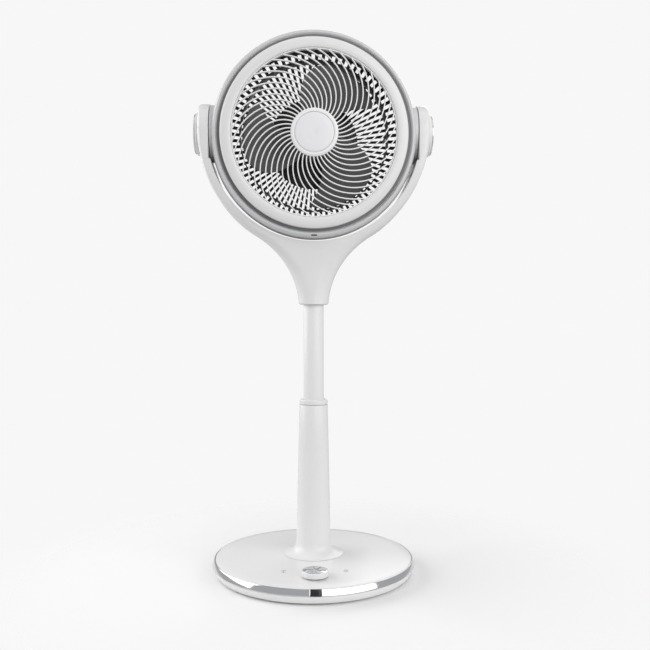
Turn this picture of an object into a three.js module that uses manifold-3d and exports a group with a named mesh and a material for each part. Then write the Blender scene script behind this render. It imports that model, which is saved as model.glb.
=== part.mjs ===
// Pedestal air circulator: a round weighted base, a telescopic column, a wide
// U-shaped yoke that swings from side to side on the column, and a drum-shaped
// fan head that tilts between the yoke's arms. Millimetres, +Z up. The air
// leaves towards -Y. The origin is on the floor, under the column's axis.

import * as THREE from 'three';
import { mergeVertices } from 'three/addons/utils/BufferGeometryUtils.js';
import Module from 'manifold-3d';

const wasm = await Module();
wasm.setup();

// ---------- fits, walls and facets ----------
const SEAT = 0.3; // between pieces that rest on or in each other
const RUNNING = 1.5; // between pieces that swing past each other
const WALL = 2.4; // moulded housings
const BOARD_THICKNESS = 1.6;
const FINE_TURN = 36; // facets of a large round piece
const ROUND_TURN = 20;
const SMALL_TURN = 10;
const OVERCUT = 1; // how far a cutter runs past the face it opens

// ---------- base ----------
const BASE_RADIUS = 174; // at the lower edge of the chrome band
const FOOT_COUNT = 5;
const FOOT_RADIUS = 9;
const FOOT_HEIGHT = 2.2;
const FOOT_INSET = 25;
const PAN_HEIGHT = 13.5;
const PAN_DRAFT = 6.5;
const PAN_FLANGE = 8;
const BAND_STEP = 2; // the band stands this far outside the pan
const BAND_SLOPE = 4;
const BAND_HEIGHT = 10.3;
const BAND_EDGE = 1.2;
const COVER_PROUD = 0.3;
const COVER_RISE = 5.1;
const COVER_LIP = 2.2;
const IR_WINDOW_WIDTH = 17;
const BALLAST_THICKNESS = 8;
const BALLAST_MARGIN = 13;
const SOCKET_FLANGE_RADIUS = 58;
const SOCKET_FLANGE_THICKNESS = 3;
const SOCKET_HEIGHT = 21;
const SOCKET_WALL = 3;
const SCREW_COUNT = 3;
const SCREW_HEAD_RADIUS = 4;
const SCREW_SHANK_RADIUS = 2;
const SCREW_HEAD_HEIGHT = 1.8;
const SCREW_CIRCLE_INSET = 12;
const INLET_WIDTH = 14;
const INLET_HEIGHT = 8;
const INLET_DEPTH = 13;
const INLET_BORE = 2.9;
const INLET_PIN = 0.8;

// ---------- controls on the base ----------
const KNOB_RADIUS = 21.5;
const KNOB_HEIGHT = 9.5;
const KNOB_INSET = 48.5; // knob axis from the cover's rim
const KNOB_CAP_MARGIN = 2;
const KNOB_CAP_THICKNESS = 1.6;
const KNOB_LOBES = 5;
const KNOB_LOBE_HEIGHT = 0.9;
const KNOB_TRAVEL = 0.8;
const KNOB_SHAFT_RADIUS = 3;
const BOARD_WIDTH = 110;
const BOARD_DEPTH = 56;
const BOARD_LIFT = 6.5; // board underside above the pan's floor
const BOARD_POST_RADIUS = 3;
const ENCODER_SIZE = 12;
const ENCODER_HEIGHT = 5;
const PLUNGER_RADIUS = 4;
const PLUNGER_THICKNESS = 1.4;
const TOUCH_INSET = 5; // touch keys from the board's ends
const TOUCH_SETBACK = 10; // and this much nearer the column
const TOUCH_RADIUS = 3.6;

// ---------- column ----------
const TUBE_RADIUS = 17.5;
const TUBE_WALL = 1.5;
const TUBE_SHOWING = 163.6; // between collar and neck when raised
const BUSH_WALL = 0.9;
const BUSH_LENGTH = 58;
const CORE_WALL = 2;
const COLUMN_AIR = 1.2;
const COLUMN_WALL = 2.3;
const COLUMN_HEIGHT = 256;
const COLUMN_TAPER = 5.4; // radius gained from the top to the foot
const COLUMN_FLARE = 22; // further radius of the foot's flare
const COLUMN_FLARE_RISE = 5.4;
const COLLAR_HEIGHT = 8.7;
const COLLAR_CHAMFER = 0.8;
const COLLAR_SPIGOT = 8;
const STOP_RING_HEIGHT = 9;
const STOP_RING_SPIGOT = 12;

// ---------- neck and yoke ----------
const NECK_RADIUS = 26;
const NECK_ROUNDING = 5;
const PIVOT_RISE = 294; // pivot above the neck's lower end
const NECK_SPRING = 55; // reach of the neck's curve at its lower end
const NECK_SWEEP = 40; // and where it runs into the bowl
const BOWL_JOIN = 100; // half width where neck and bowl meet
const HEAD_GAP = 5; // from the drum's widest ring to the bowl under it
const ARM_GAP = 3; // and to the arms beside it
const ARM_THICKNESS = 18.5;
const BOWL_THICKNESS = 16.5; // under the head
const ARM_END_RADIUS = 50;
const ARM_EDGE = 8; // rounding along the arms
const CAP_RADIUS = 36.5;
const CAP_HEIGHT = 8.5;
const CAP_STEP = 3;
const POST_LENGTH = 20;
const POST_FLANGE_RADIUS = 22;
const POST_FLANGE_THICKNESS = 4;
const SPINDLE_RADIUS = 8;
const SPINDLE_LENGTH = 22;
const WASHER_THICKNESS = 2.4;
const NECK_FLOOR_THICKNESS = 22;
const DRIVE_SHAFT_RADIUS = 3;
const SWIVEL_MOTOR_RADIUS = 18;
const SWIVEL_MOTOR_HEIGHT = 20;
const PIVOT_PIN_RADIUS = 6;
const PIVOT_BOSS_RADIUS = 14;

// ---------- fan head, along its own axis ----------
const REST_TILT = 3.5; // degrees below level, as photographed
const HEAD_DROP = 7.5; // the drum's axis runs this far below the pivot
const OPENING_RADIUS = 138.5; // of the front ring
const BEZEL_WIDTH = 23.5;
const BEZEL_FLAT = 9; // from the opening to the ring's foremost line
const BEZEL_SHOULDER = 18.5; // and to where the ring rolls over
const BEZEL_SHOULDER_FALL = 2.5;
const BEZEL_EDGE = 2; // rounding at the opening
const RIM_WIDTH = 12; // the drum outside the front ring
const DRUM_LIP = 4.5; // the lip round the front ring
const DRUM_CREST = 25; // where the drum is widest, ahead of the pivot
const FACE_DEPTH = 66; // front ring ahead of the pivot
const BEZEL_FALL = 10; // from its foremost line to the seam
const BEZEL_THICKNESS = 3;
const BEZEL_SPIGOT = 5; // behind the seam
const BEZEL_SKIRT = 8; // the wall round the opening, behind the seam
const BACK_DEPTH = 58; // drum's rear edge behind the pivot
const BACK_OPENING = 162;
const GUARD_SEAT = 9; // guard ahead of the drum's rear edge
const SIDE_SLOT_REAR = 44; // air slots in the drum's wall, behind the pivot
const SIDE_SLOT_LENGTH = 44;
const SEAM = 0.8;
const BOSS_RADIUS = 48.5;
const TILT_MOTOR_RADIUS = 18;
const TILT_MOTOR_LENGTH = 27;
const BUSH_LENGTH_TILT = 12;
const TILT_BUSH_RADIUS = 9.7;
const SENSOR_WIDTH = 11;
const SENSOR_HEIGHT = 3;

// ---------- front grille ----------
const RIB_COUNT = 44;
const RIB_WIDTH = 2;
const RIB_DEPTH = 5;
const RIB_SWEEP = 58; // degrees from hub to rim
const RIB_CURL = 1.33;
const RIB_PHASE = 31;
const RIB_STEPS = 4;
const HUB_RADIUS = 39.6;
const HUB_RIM = 6.6;
const HUB_HEIGHT = 9;
const BADGE_THICKNESS = 2.5;
const GRILLE_CROWN = 6; // hub ahead of the rim
const GRILLE_RIM_WIDTH = 1.8;
const GRILLE_RIM_DEPTH = 9;

// ---------- rear guard ----------
const GUARD_SPOKES = 80;
const GUARD_SLOT_SHARE = 0.5; // of each spoke's pitch that is open
const GUARD_DISC_RADIUS = 80;
const GUARD_RIM_WIDTH = 5.5;
const GUARD_THICKNESS = 4;
const DUCT_WALL = 2;
const DUCT_LENGTH = 28;
const DUCT_POSTS = 8; // that hold the duct's ring off the guard
const DUCT_POST_WIDTH = 4;
const MOTOR_COVER_RADIUS = 66;
const MOTOR_COVER_DEPTH = 30;
const MOTOR_COVER_DOME = 6;

// ---------- fan and motor ----------
const FAN_INSET = 16.5; // blade tips inside the front opening
const BLADE_COUNT = 3;
const BLADE_SPAN = 69; // degrees along the chord
const BLADE_SKEW = 26; // degrees from root to tip, clockwise from the front
const BLADE_PHASE = 84;
const BLADE_RISE = 34; // front to rear, along the axis
const BLADE_THICKNESS = 2.4;
const BLADE_STEPS = 6;
const FAN_HUB_RADIUS = 36;
const FAN_HUB_LENGTH = 36;
const FAN_HUB_WALL = 3;
const FAN_SHAFT_RADIUS = 4;
const MOTOR_RADIUS = 34;
const MOTOR_WALL = 2;
const MOTOR_LENGTH = 42;
const ROTOR_RADIUS = 18;
const MOTOR_BEARING_RADIUS = 9;
const MOTOR_BEARING_LENGTH = 5;
const FAN_NUT_RADIUS = 9;
const FAN_NUT_LENGTH = 7;

// ---------- finishes ----------
const WHITE_PLASTIC = { color: 0xe4e5e6, roughness: 0.35, metalness: 0 };
const SILVER_WHITE = { color: 0xc9cacc, roughness: 0.38, metalness: 0.1 };
const CHROME = { color: 0xd2d4d6, roughness: 0.1, metalness: 1 };
const BRUSHED_STEEL = { color: 0xb4b6b8, roughness: 0.35, metalness: 1 };
const GRAPHITE = { color: 0x4b4b4d, roughness: 0.5, metalness: 0 };
const BLACK_PLASTIC = { color: 0x161617, roughness: 0.45, metalness: 0 };
const BADGE_GREY = { color: 0xdedee2, roughness: 0.3, metalness: 0 };
const DARK_RUBBER = { color: 0x202020, roughness: 0.9, metalness: 0 };
const CAST_IRON = { color: 0x3c3d3f, roughness: 0.8, metalness: 0.6 };
const BOARD_GREEN = { color: 0x1f5a38, roughness: 0.6, metalness: 0 };
const NYLON = { color: 0xdcd8cc, roughness: 0.55, metalness: 0 };
const COPPER = { color: 0xa8643a, roughness: 0.45, metalness: 0.8 };

// ---------- solids ----------
// A closed geometry becomes a solid: its shared corners are merged, triangles
// without area dropped, and a shape that came out inside out is turned.
function solidOf(geometry) {
  geometry.deleteAttribute('normal');
  geometry.deleteAttribute('uv');
  const merged = mergeVertices(geometry, 1e-4);
  const vertProperties = Float32Array.from(merged.attributes.position.array);
  const corners = merged.index.array;
  const triVerts = [];
  for (let i = 0; i < corners.length; i += 3) {
    const [a, b, c] = corners.slice(i, i + 3);
    if (a !== b && b !== c && c !== a) triVerts.push(a, b, c);
  }
  if (enclosedVolume(vertProperties, triVerts) < 0) triVerts.reverse();
  const mesh = new wasm.Mesh({ numProp: 3, vertProperties, triVerts: Uint32Array.from(triVerts) });
  return new wasm.Manifold(mesh);
}

function enclosedVolume(positions, corners) {
  const [a, b, c] = [new THREE.Vector3(), new THREE.Vector3(), new THREE.Vector3()];
  let sum = 0;
  for (let i = 0; i < corners.length; i += 3) {
    a.fromArray(positions, corners[i] * 3);
    b.fromArray(positions, corners[i + 1] * 3);
    c.fromArray(positions, corners[i + 2] * 3);
    sum += a.dot(b.cross(c));
  }
  return sum / 6;
}

function part(name, finish, solid) {
  const shape = solid.getMesh();
  const geometry = new THREE.BufferGeometry();
  geometry.setAttribute('position', new THREE.BufferAttribute(shape.vertProperties, 3));
  geometry.setIndex(new THREE.BufferAttribute(shape.triVerts, 1));
  geometry.computeVertexNormals();
  const mesh = new THREE.Mesh(geometry, new THREE.MeshStandardMaterial(finish));
  mesh.name = name;
  return mesh;
}

function joined(solids) {
  return solids.reduce((whole, next) => whole.add(next));
}

// A profile of [radius, distance along the axis]. One that starts off the
// axis is a ring, so it closes on its own first point.
function turned(profile, facets) {
  const points = profile.map(([radius, along]) => new THREE.Vector2(radius, along));
  if (profile[0][0] > 0) points.push(points[0].clone());
  return new THREE.LatheGeometry(points, facets);
}

const upright = (profile, facets) => solidOf(turned(profile, facets).rotateX(Math.PI / 2));
// The head's own axis points forwards, along -Y.
const forward = (profile, facets) => solidOf(turned(profile, facets).rotateX(Math.PI));

function rod(radius, low, high) {
  return [[0, low], [radius, low], [radius, high], [0, high]];
}

function tube(inner, outer, low, high) {
  return [[inner, low], [outer, low], [outer, high], [inner, high]];
}

function movedUpright(profile, facets, x, y) {
  return solidOf(turned(profile, facets).rotateX(Math.PI / 2).translate(x, y, 0));
}

function block(low, high) {
  const size = high.map((value, i) => value - low[i]);
  const middle = high.map((value, i) => (value + low[i]) / 2);
  return solidOf(new THREE.BoxGeometry(...size).translate(...middle));
}

const radians = (degrees) => THREE.MathUtils.degToRad(degrees);
const blendOver = (value, low, high) => THREE.MathUtils.smoothstep(value, low, high);

function onCircle(radius, degrees) {
  return [radius * Math.cos(radians(degrees)), radius * Math.sin(radians(degrees))];
}

// ---------- base: pan, feet, ballast, band and cover ----------
const panBottom = FOOT_HEIGHT + SEAT;
const panFloor = panBottom + WALL;
const panTop = panBottom + PAN_HEIGHT;
const panTopRadius = BASE_RADIUS - BAND_STEP;
const panBottomRadius = panTopRadius - PAN_DRAFT;
const bandBottom = panTop + SEAT;
const bandTop = bandBottom + BAND_HEIGHT;
const bandTopRadius = BASE_RADIUS - BAND_SLOPE;
const coverRadius = bandTopRadius - BAND_EDGE - SEAT;
const coverRim = bandTop + COVER_PROUD;
const coverSeat = coverRim + COVER_RISE;
const knobOffset = coverRadius - KNOB_INSET;
const boardBottom = panFloor + BOARD_LIFT;
const boardTop = boardBottom + BOARD_THICKNESS;
const shankTop = panFloor + SEAT + SOCKET_FLANGE_THICKNESS;

// The column: a steel tube guides the sliding one inside a tapered cover.
const bushRadius = TUBE_RADIUS + SEAT + BUSH_WALL;
const coreInner = bushRadius + SEAT;
const coreRadius = coreInner + CORE_WALL;
const socketBottom = panFloor + SEAT;
const coreBottom = socketBottom + SOCKET_FLANGE_THICKNESS + SEAT;
const columnBottom = coverSeat + SEAT;
const columnTop = columnBottom + COLUMN_HEIGHT;
const collarBottom = columnTop + SEAT;
const collarTop = collarBottom + COLLAR_HEIGHT;
const coreTop = collarBottom - COLLAR_SPIGOT / 2;
const columnTopRadius = coreRadius + COLUMN_AIR + COLUMN_WALL;
const columnFootRadius = columnTopRadius + COLUMN_TAPER + COLUMN_FLARE;
const screwCircle = SOCKET_FLANGE_RADIUS - SCREW_CIRCLE_INSET;

// Height of the cover's outside: level under the column's foot, then falling
// in a straight line to the rim.
function coverHeight(radius) {
  const fall = (radius - columnFootRadius) / (coverRadius - columnFootRadius);
  return coverSeat - COVER_RISE * THREE.MathUtils.clamp(fall, 0, 1);
}

function inCircle(count, action) {
  return Array.from({ length: count }, (_, i) => action(i, (360 * i) / count));
}

const screwPlaces = inCircle(SCREW_COUNT, (i, degrees) => onCircle(screwCircle, degrees + 90));
const postPlaces = [-1, 1].flatMap((side) => [-1, 1].map((end) => [
  side * (BOARD_WIDTH / 2 - BOARD_POST_RADIUS),
  -knobOffset + end * (BOARD_DEPTH / 2 - BOARD_POST_RADIUS),
]));

function inletCut(clearance) {
  const half = INLET_WIDTH / 2 + clearance;
  const bottom = panFloor + SEAT;
  return block(
    [-half, panBottomRadius - INLET_DEPTH, bottom - clearance],
    [half, BASE_RADIUS, bottom + INLET_HEIGHT + clearance],
  );
}

// The pan is a shallow tray with a flange for the band and cover to sit on.
function panSolid() {
  const flangeInner = panTopRadius - PAN_FLANGE;
  const tray = upright([
    [0, panBottom], [panBottomRadius, panBottom], [panTopRadius, panTop], [flangeInner, panTop],
    [flangeInner, panTop - WALL], [panTopRadius - WALL - 1, panTop - WALL],
    [panBottomRadius - WALL, panFloor], [0, panFloor],
  ], FINE_TURN);
  return tray;
}

function basePan() {
  const posts = postPlaces.map(([x, y]) => (
    movedUpright(rod(BOARD_POST_RADIUS, panFloor - OVERCUT, boardBottom - SEAT), SMALL_TURN, x, y)
  ));
  const holes = screwPlaces.map(([x, y]) => (
    movedUpright(rod(SCREW_HEAD_RADIUS + SEAT, 0, panFloor + OVERCUT), SMALL_TURN, x, y)
  ));
  return joined([panSolid(), ...posts]).subtract(joined(holes)).subtract(inletCut(SEAT));
}

// A low-voltage inlet in the pan's rear wall: its face follows the wall, and
// a contact pin stands in its bore.
function powerInlet() {
  const [bottom, top] = [panFloor + SEAT, panFloor + SEAT + INLET_HEIGHT];
  const middle = (bottom + top) / 2;
  const inner = panBottomRadius - INLET_DEPTH;
  const outline = upright([
    [0, panBottom], [panBottomRadius, panBottom], [panTopRadius, panTop], [0, panTop],
  ], FINE_TURN);
  const along = (profile) => solidOf(turned(profile, SMALL_TURN).translate(0, 0, middle));
  const bore = along(rod(INLET_BORE, inner + WALL, BASE_RADIUS));
  const pin = along(rod(INLET_PIN, inner + WALL - OVERCUT, panBottomRadius - WALL));
  return inletCut(0).intersect(outline).subtract(bore).add(pin);
}

function ballastPlate() {
  const bottom = panFloor + SEAT;
  const radius = panBottomRadius - BALLAST_MARGIN;
  const plate = upright(
    tube(SOCKET_FLANGE_RADIUS + WALL, radius, bottom, bottom + BALLAST_THICKNESS),
    FINE_TURN,
  );
  const bay = block(
    [-BOARD_WIDTH / 2 - WALL, -BASE_RADIUS, 0],
    [BOARD_WIDTH / 2 + WALL, -knobOffset + BOARD_DEPTH / 2 + WALL, panTop],
  );
  const inletBay = block(
    [-INLET_WIDTH, panBottomRadius - INLET_DEPTH - WALL, 0],
    [INLET_WIDTH, BASE_RADIUS, panTop],
  );
  return plate.subtract(bay).subtract(inletBay);
}

function bandRing() {
  return upright([
    [bandTopRadius - BAND_EDGE, bandTop], [bandTopRadius, bandTop],
    [BASE_RADIUS, bandBottom], [bandTopRadius - BAND_EDGE, bandBottom],
  ], FINE_TURN);
}

function windowBlock(clearance) {
  const half = IR_WINDOW_WIDTH / 2 + clearance;
  return block([-half, -BASE_RADIUS - OVERCUT, 0], [half, 0, bandTop + OVERCUT]);
}

function topCover() {
  const boreRadius = coreRadius + SOCKET_WALL + RUNNING;
  const lipInner = coverRadius - COVER_LIP;
  const shell = upright([
    [boreRadius, coverSeat], [columnFootRadius, coverSeat], [coverRadius, coverRim],
    [coverRadius, bandBottom], [lipInner, bandBottom], [lipInner, coverRim - WALL],
    [columnFootRadius, coverSeat - WALL], [boreRadius, coverSeat - WALL],
  ], FINE_TURN);
  const knobHole = movedUpright(
    rod(KNOB_SHAFT_RADIUS + RUNNING, 0, coverSeat + OVERCUT), SMALL_TURN, 0, -knobOffset,
  );
  return shell.subtract(knobHole);
}

function columnSocket() {
  const bore = coreRadius + SEAT;
  const socket = upright([
    [0, socketBottom], [SOCKET_FLANGE_RADIUS, socketBottom],
    [SOCKET_FLANGE_RADIUS, coreBottom - SEAT], [bore + SOCKET_WALL, coreBottom - SEAT],
    [bore + SOCKET_WALL, socketBottom + SOCKET_HEIGHT], [bore, socketBottom + SOCKET_HEIGHT],
    [bore, coreBottom - SEAT], [0, coreBottom - SEAT],
  ], ROUND_TURN);
  const holes = screwPlaces.map(([x, y]) => (
    movedUpright(rod(SCREW_SHANK_RADIUS + SEAT, 0, coverSeat), SMALL_TURN, x, y)
  ));
  return socket.subtract(joined(holes));
}

function baseScrew([x, y]) {
  const headTop = socketBottom - SEAT;
  return movedUpright([
    [0, headTop - SCREW_HEAD_HEIGHT], [SCREW_HEAD_RADIUS, headTop - SCREW_HEAD_HEIGHT],
    [SCREW_HEAD_RADIUS, headTop], [SCREW_SHANK_RADIUS, headTop],
    [SCREW_SHANK_RADIUS, shankTop], [0, shankTop],
  ], SMALL_TURN, x, y);
}

function addBase(parent) {
  const window = bandRing().intersect(windowBlock(0));
  parent.add(
    part('base_pan', WHITE_PLASTIC, basePan()),
    part('ballast_plate', CAST_IRON, ballastPlate()),
    part('chrome_band', CHROME, bandRing().subtract(windowBlock(SEAT))),
    part('ir_window', BLACK_PLASTIC, window),
    part('base_top_cover', WHITE_PLASTIC, topCover()),
    part('column_socket', BRUSHED_STEEL, columnSocket()),
    part('power_inlet', BLACK_PLASTIC, powerInlet()),
  );
  inCircle(FOOT_COUNT, (i, degrees) => {
    const [x, y] = onCircle(panBottomRadius - FOOT_INSET, degrees + 90);
    const pad = movedUpright(rod(FOOT_RADIUS, 0, FOOT_HEIGHT), SMALL_TURN, x, y);
    parent.add(part(`rubber_foot_${i + 1}`, DARK_RUBBER, pad));
  });
  screwPlaces.forEach((place, i) => {
    parent.add(part(`base_screw_${i + 1}`, BRUSHED_STEEL, baseScrew(place)));
  });
}

// ---------- knob, encoder and touch keys ----------
const encoderTop = boardTop + SEAT + ENCODER_HEIGHT;
const plungerBottom = boardTop + SEAT + WALL + KNOB_TRAVEL;
const plungerTop = plungerBottom + PLUNGER_THICKNESS;
const knobBottom = coverHeight(knobOffset - KNOB_RADIUS) + KNOB_TRAVEL + SEAT;
const knobTop = knobBottom + KNOB_HEIGHT;
const capRadius = KNOB_RADIUS - KNOB_CAP_MARGIN;
const capSeat = knobTop - KNOB_CAP_THICKNESS - KNOB_LOBE_HEIGHT;
const shaftTop = capSeat - WALL;

function atKnob(profile, facets = SMALL_TURN) {
  return movedUpright(profile, facets, 0, -knobOffset);
}

// The encoder's body is a cup. The plunger of its press switch rides inside,
// under the shaft.
function encoderBody() {
  const half = ENCODER_SIZE / 2;
  const can = block(
    [-half, -knobOffset - half, boardTop + SEAT], [half, -knobOffset + half, encoderTop],
  );
  const well = atKnob(rod(PLUNGER_RADIUS + SEAT, boardTop + SEAT + WALL, encoderTop + OVERCUT));
  return can.subtract(well);
}

function knobBody() {
  const skirt = KNOB_RADIUS - WALL;
  return atKnob([
    [KNOB_SHAFT_RADIUS + SEAT, knobBottom], [KNOB_RADIUS, knobBottom], [KNOB_RADIUS, knobTop - 1],
    [KNOB_RADIUS - 0.5, knobTop - KNOB_LOBE_HEIGHT / 2], [capRadius + SEAT, knobTop - 0.5],
    [capRadius + SEAT, capSeat - SEAT], [0, capSeat - SEAT], [0, shaftTop + SEAT],
    [KNOB_SHAFT_RADIUS + SEAT, shaftTop + SEAT],
  ], ROUND_TURN).subtract(atKnob(tube(KNOB_SHAFT_RADIUS + WALL, skirt, 0, shaftTop - SEAT)));
}

// Raised lobes turn on the cap like the blades of a small propeller.
function knobLobe(degrees) {
  const [tip, root] = [capRadius - 1, capRadius * 0.12];
  const lobe = new THREE.Shape();
  lobe.moveTo(...onCircle(root, degrees));
  lobe.quadraticCurveTo(...onCircle(tip * 0.6, degrees + 28), ...onCircle(tip, degrees + 26));
  lobe.lineTo(...onCircle(tip, degrees - 12));
  lobe.quadraticCurveTo(...onCircle(tip * 0.6, degrees - 18), ...onCircle(root, degrees));
  const raised = KNOB_LOBE_HEIGHT + KNOB_CAP_THICKNESS / 2;
  const geometry = new THREE.ExtrudeGeometry(lobe, {
    depth: raised, bevelEnabled: false, curveSegments: 5,
  });
  return solidOf(geometry.translate(0, -knobOffset, knobTop - raised));
}

function knobCap() {
  const disc = atKnob(rod(capRadius, capSeat, capSeat + KNOB_CAP_THICKNESS), ROUND_TURN);
  return joined([disc, ...inCircle(KNOB_LOBES, (i, degrees) => knobLobe(degrees))]);
}

function addControls(parent) {
  const [boardX, boardY] = [BOARD_WIDTH / 2, BOARD_DEPTH / 2];
  const board = block(
    [-boardX, -knobOffset - boardY, boardBottom], [boardX, -knobOffset + boardY, boardTop],
  );
  const plunger = atKnob(rod(PLUNGER_RADIUS, plungerBottom, plungerTop));
  const shaft = atKnob(rod(KNOB_SHAFT_RADIUS, plungerTop + SEAT, shaftTop));
  parent.add(
    part('control_board', BOARD_GREEN, board),
    part('encoder_body', BRUSHED_STEEL, encoderBody()),
    part('switch_plunger', NYLON, plunger),
    part('knob_shaft', BRUSHED_STEEL, shaft),
    part('knob_body', WHITE_PLASTIC, knobBody()),
    part('knob_cap', CHROME, knobCap()),
  );
  [['left', -1], ['right', 1]].forEach(([side, sign]) => {
    const [x, y] = [sign * (boardX - TOUCH_INSET), -knobOffset + TOUCH_SETBACK];
    const under = coverHeight(Math.hypot(x, y) + TOUCH_RADIUS) - WALL - SEAT;
    const pad = movedUpright(rod(TOUCH_RADIUS, boardTop + SEAT, under), SMALL_TURN, x, y);
    parent.add(part(`touch_key_${side}`, COPPER, pad));
  });
}

// ---------- column ----------
function columnRadius(height) {
  const up = (height - columnBottom) / COLUMN_HEIGHT;
  const flare = COLUMN_FLARE * Math.exp(-(height - columnBottom) / COLUMN_FLARE_RISE);
  return columnTopRadius + COLUMN_TAPER * (1 - up) + flare;
}

// The tapered cover flares into its foot; stations crowd together down there.
function lowerColumn() {
  const stations = [0, 0.006, 0.018, 0.04, 0.085, 0.45, 1];
  const heights = stations.map((share) => columnBottom + share * COLUMN_HEIGHT);
  const outside = heights.map((height) => [columnRadius(height), height]);
  const inside = heights.map((height) => [columnRadius(height) - COLUMN_WALL, height]);
  return upright([...outside, ...inside.reverse()], ROUND_TURN);
}

function columnCollar() {
  const bore = TUBE_RADIUS + SEAT;
  const spigot = columnTopRadius - COLUMN_WALL - SEAT;
  const chamferRadius = columnTopRadius - COLLAR_CHAMFER;
  return upright([
    [bore, coreTop + SEAT], [coreRadius + SEAT, coreTop + SEAT],
    [coreRadius + SEAT, collarBottom - COLLAR_SPIGOT], [spigot, collarBottom - COLLAR_SPIGOT],
    [spigot, collarBottom], [columnTopRadius, collarBottom],
    [columnTopRadius, collarTop - COLLAR_CHAMFER], [chamferRadius, collarTop], [bore, collarTop],
  ], ROUND_TURN);
}

const bushTop = coreTop;
const bushBottom = bushTop - BUSH_LENGTH;
const stopTop = bushBottom - SEAT;
const tubeBottom = stopTop + SEAT;
const neckBottom = collarTop + TUBE_SHOWING;
const tubeTop = neckBottom + POST_LENGTH;

function stopRing() {
  const spigot = TUBE_RADIUS - TUBE_WALL - SEAT;
  const inner = spigot - WALL;
  return upright([
    [inner, stopTop - STOP_RING_HEIGHT], [bushRadius, stopTop - STOP_RING_HEIGHT],
    [bushRadius, stopTop], [spigot, stopTop], [spigot, stopTop + STOP_RING_SPIGOT],
    [inner, stopTop + STOP_RING_SPIGOT],
  ], ROUND_TURN);
}

function addColumn(parent) {
  const sliding = upright(tube(TUBE_RADIUS - TUBE_WALL, TUBE_RADIUS, tubeBottom, tubeTop), ROUND_TURN);
  const bush = upright(tube(TUBE_RADIUS + SEAT, bushRadius, bushBottom, bushTop), ROUND_TURN);
  parent.add(
    part('lower_column', WHITE_PLASTIC, lowerColumn()),
    part('core_tube', BRUSHED_STEEL, upright(tube(coreInner, coreRadius, coreBottom, coreTop), ROUND_TURN)),
    part('guide_bush', NYLON, bush),
    part('column_collar', WHITE_PLASTIC, columnCollar()),
    part('upper_tube', WHITE_PLASTIC, sliding),
    part('stop_ring', NYLON, stopRing()),
  );
}

// ---------- yoke: outline, depth and shells ----------
const pivotHeight = neckBottom + PIVOT_RISE;
const headRadius = OPENING_RADIUS + BEZEL_WIDTH + RIM_WIDTH;
const bowlInner = headRadius + HEAD_GAP;
const armInner = headRadius + ARM_GAP;
const armOuter = armInner + ARM_THICKNESS;
const bowlDepth = bowlInner + HEAD_DROP + BOWL_THICKNESS;
const bossReach = armInner - RUNNING;
const pocketDepth = BOSS_RADIUS + RUNNING * 2;
const flangeTop = tubeTop + SEAT + POST_FLANGE_THICKNESS;
const washerTop = flangeTop + SEAT + WASHER_THICKNESS;
const spindleTop = washerTop + SPINDLE_LENGTH;
const neckFloor = washerTop + SEAT + NECK_FLOOR_THICKNESS;

// Half of the front outline, from the neck's lower end up: a rounded edge, one
// sweeping curve, the bowl round the head, then the arm.
function halfOutline(inset) {
  const [across, down] = [armOuter - inset, bowlDepth - inset];
  const joinAngle = Math.asin(BOWL_JOIN / armOuter);
  const join = new THREE.Vector2(
    across * Math.sin(joinAngle), pivotHeight - down * Math.cos(joinAngle),
  );
  const alongBowl = new THREE.Vector2(
    across * Math.cos(joinAngle), down * Math.sin(joinAngle),
  ).setLength(NECK_SWEEP);
  const neck = NECK_RADIUS - inset;
  const edge = neckBottom + NECK_ROUNDING;
  const outline = new THREE.CurvePath();
  outline.add(new THREE.QuadraticBezierCurve(
    new THREE.Vector2(neck - NECK_ROUNDING, neckBottom), new THREE.Vector2(neck, neckBottom),
    new THREE.Vector2(neck, edge),
  ));
  outline.add(new THREE.CubicBezierCurve(
    new THREE.Vector2(neck, edge), new THREE.Vector2(neck + NECK_ROUNDING, edge + NECK_SPRING),
    join.clone().sub(alongBowl), join,
  ));
  outline.add(new THREE.EllipseCurve(
    0, pivotHeight, across, down, joinAngle - Math.PI / 2, 0, false,
  ));
  return outline;
}

// Half depth, front to back: round at the neck, deepest at the pivot, and
// ending in a half circle above it.
function halfDepth(height) {
  if (height > pivotHeight) {
    return Math.sqrt(Math.max(ARM_END_RADIUS ** 2 - (height - pivotHeight) ** 2, 0));
  }
  const grown = blendOver(height, neckFloor, pivotHeight);
  return NECK_RADIUS + (ARM_END_RADIUS - NECK_RADIUS) * grown;
}

function roundedSection(halfWidth, depth, corner, height) {
  const steps = 2;
  const points = [];
  for (let quarter = 0; quarter < 4; quarter += 1) {
    const [signX, signY] = [[1, 1], [-1, 1], [-1, -1], [1, -1]][quarter];
    for (let i = 0; i <= steps; i += 1) {
      const angle = (quarter + i / steps) * (Math.PI / 2);
      const x = signX * (halfWidth - corner) + corner * Math.cos(angle);
      const y = signY * (depth - corner) + corner * Math.sin(angle);
      points.push(new THREE.Vector3(x, y, height));
    }
  }
  return points;
}

// Skins a stack of sections that all have as many points, and caps its ends.
function lofted(sections) {
  const count = sections[0].length;
  const positions = sections.flat();
  const corners = [];
  for (let row = 0; row + 1 < sections.length; row += 1) {
    for (let i = 0; i < count; i += 1) {
      const [a, b] = [row * count + i, row * count + ((i + 1) % count)];
      corners.push(a, b, b + count, a, b + count, a + count);
    }
  }
  [0, sections.length - 1].forEach((row) => {
    for (let i = 1; i + 1 < count; i += 1) {
      const fan = [row * count, row * count + i, row * count + i + 1];
      corners.push(...(row === 0 ? fan.reverse() : fan));
    }
  });
  const geometry = new THREE.BufferGeometry().setFromPoints(positions);
  geometry.setIndex(corners);
  return solidOf(geometry);
}

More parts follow.
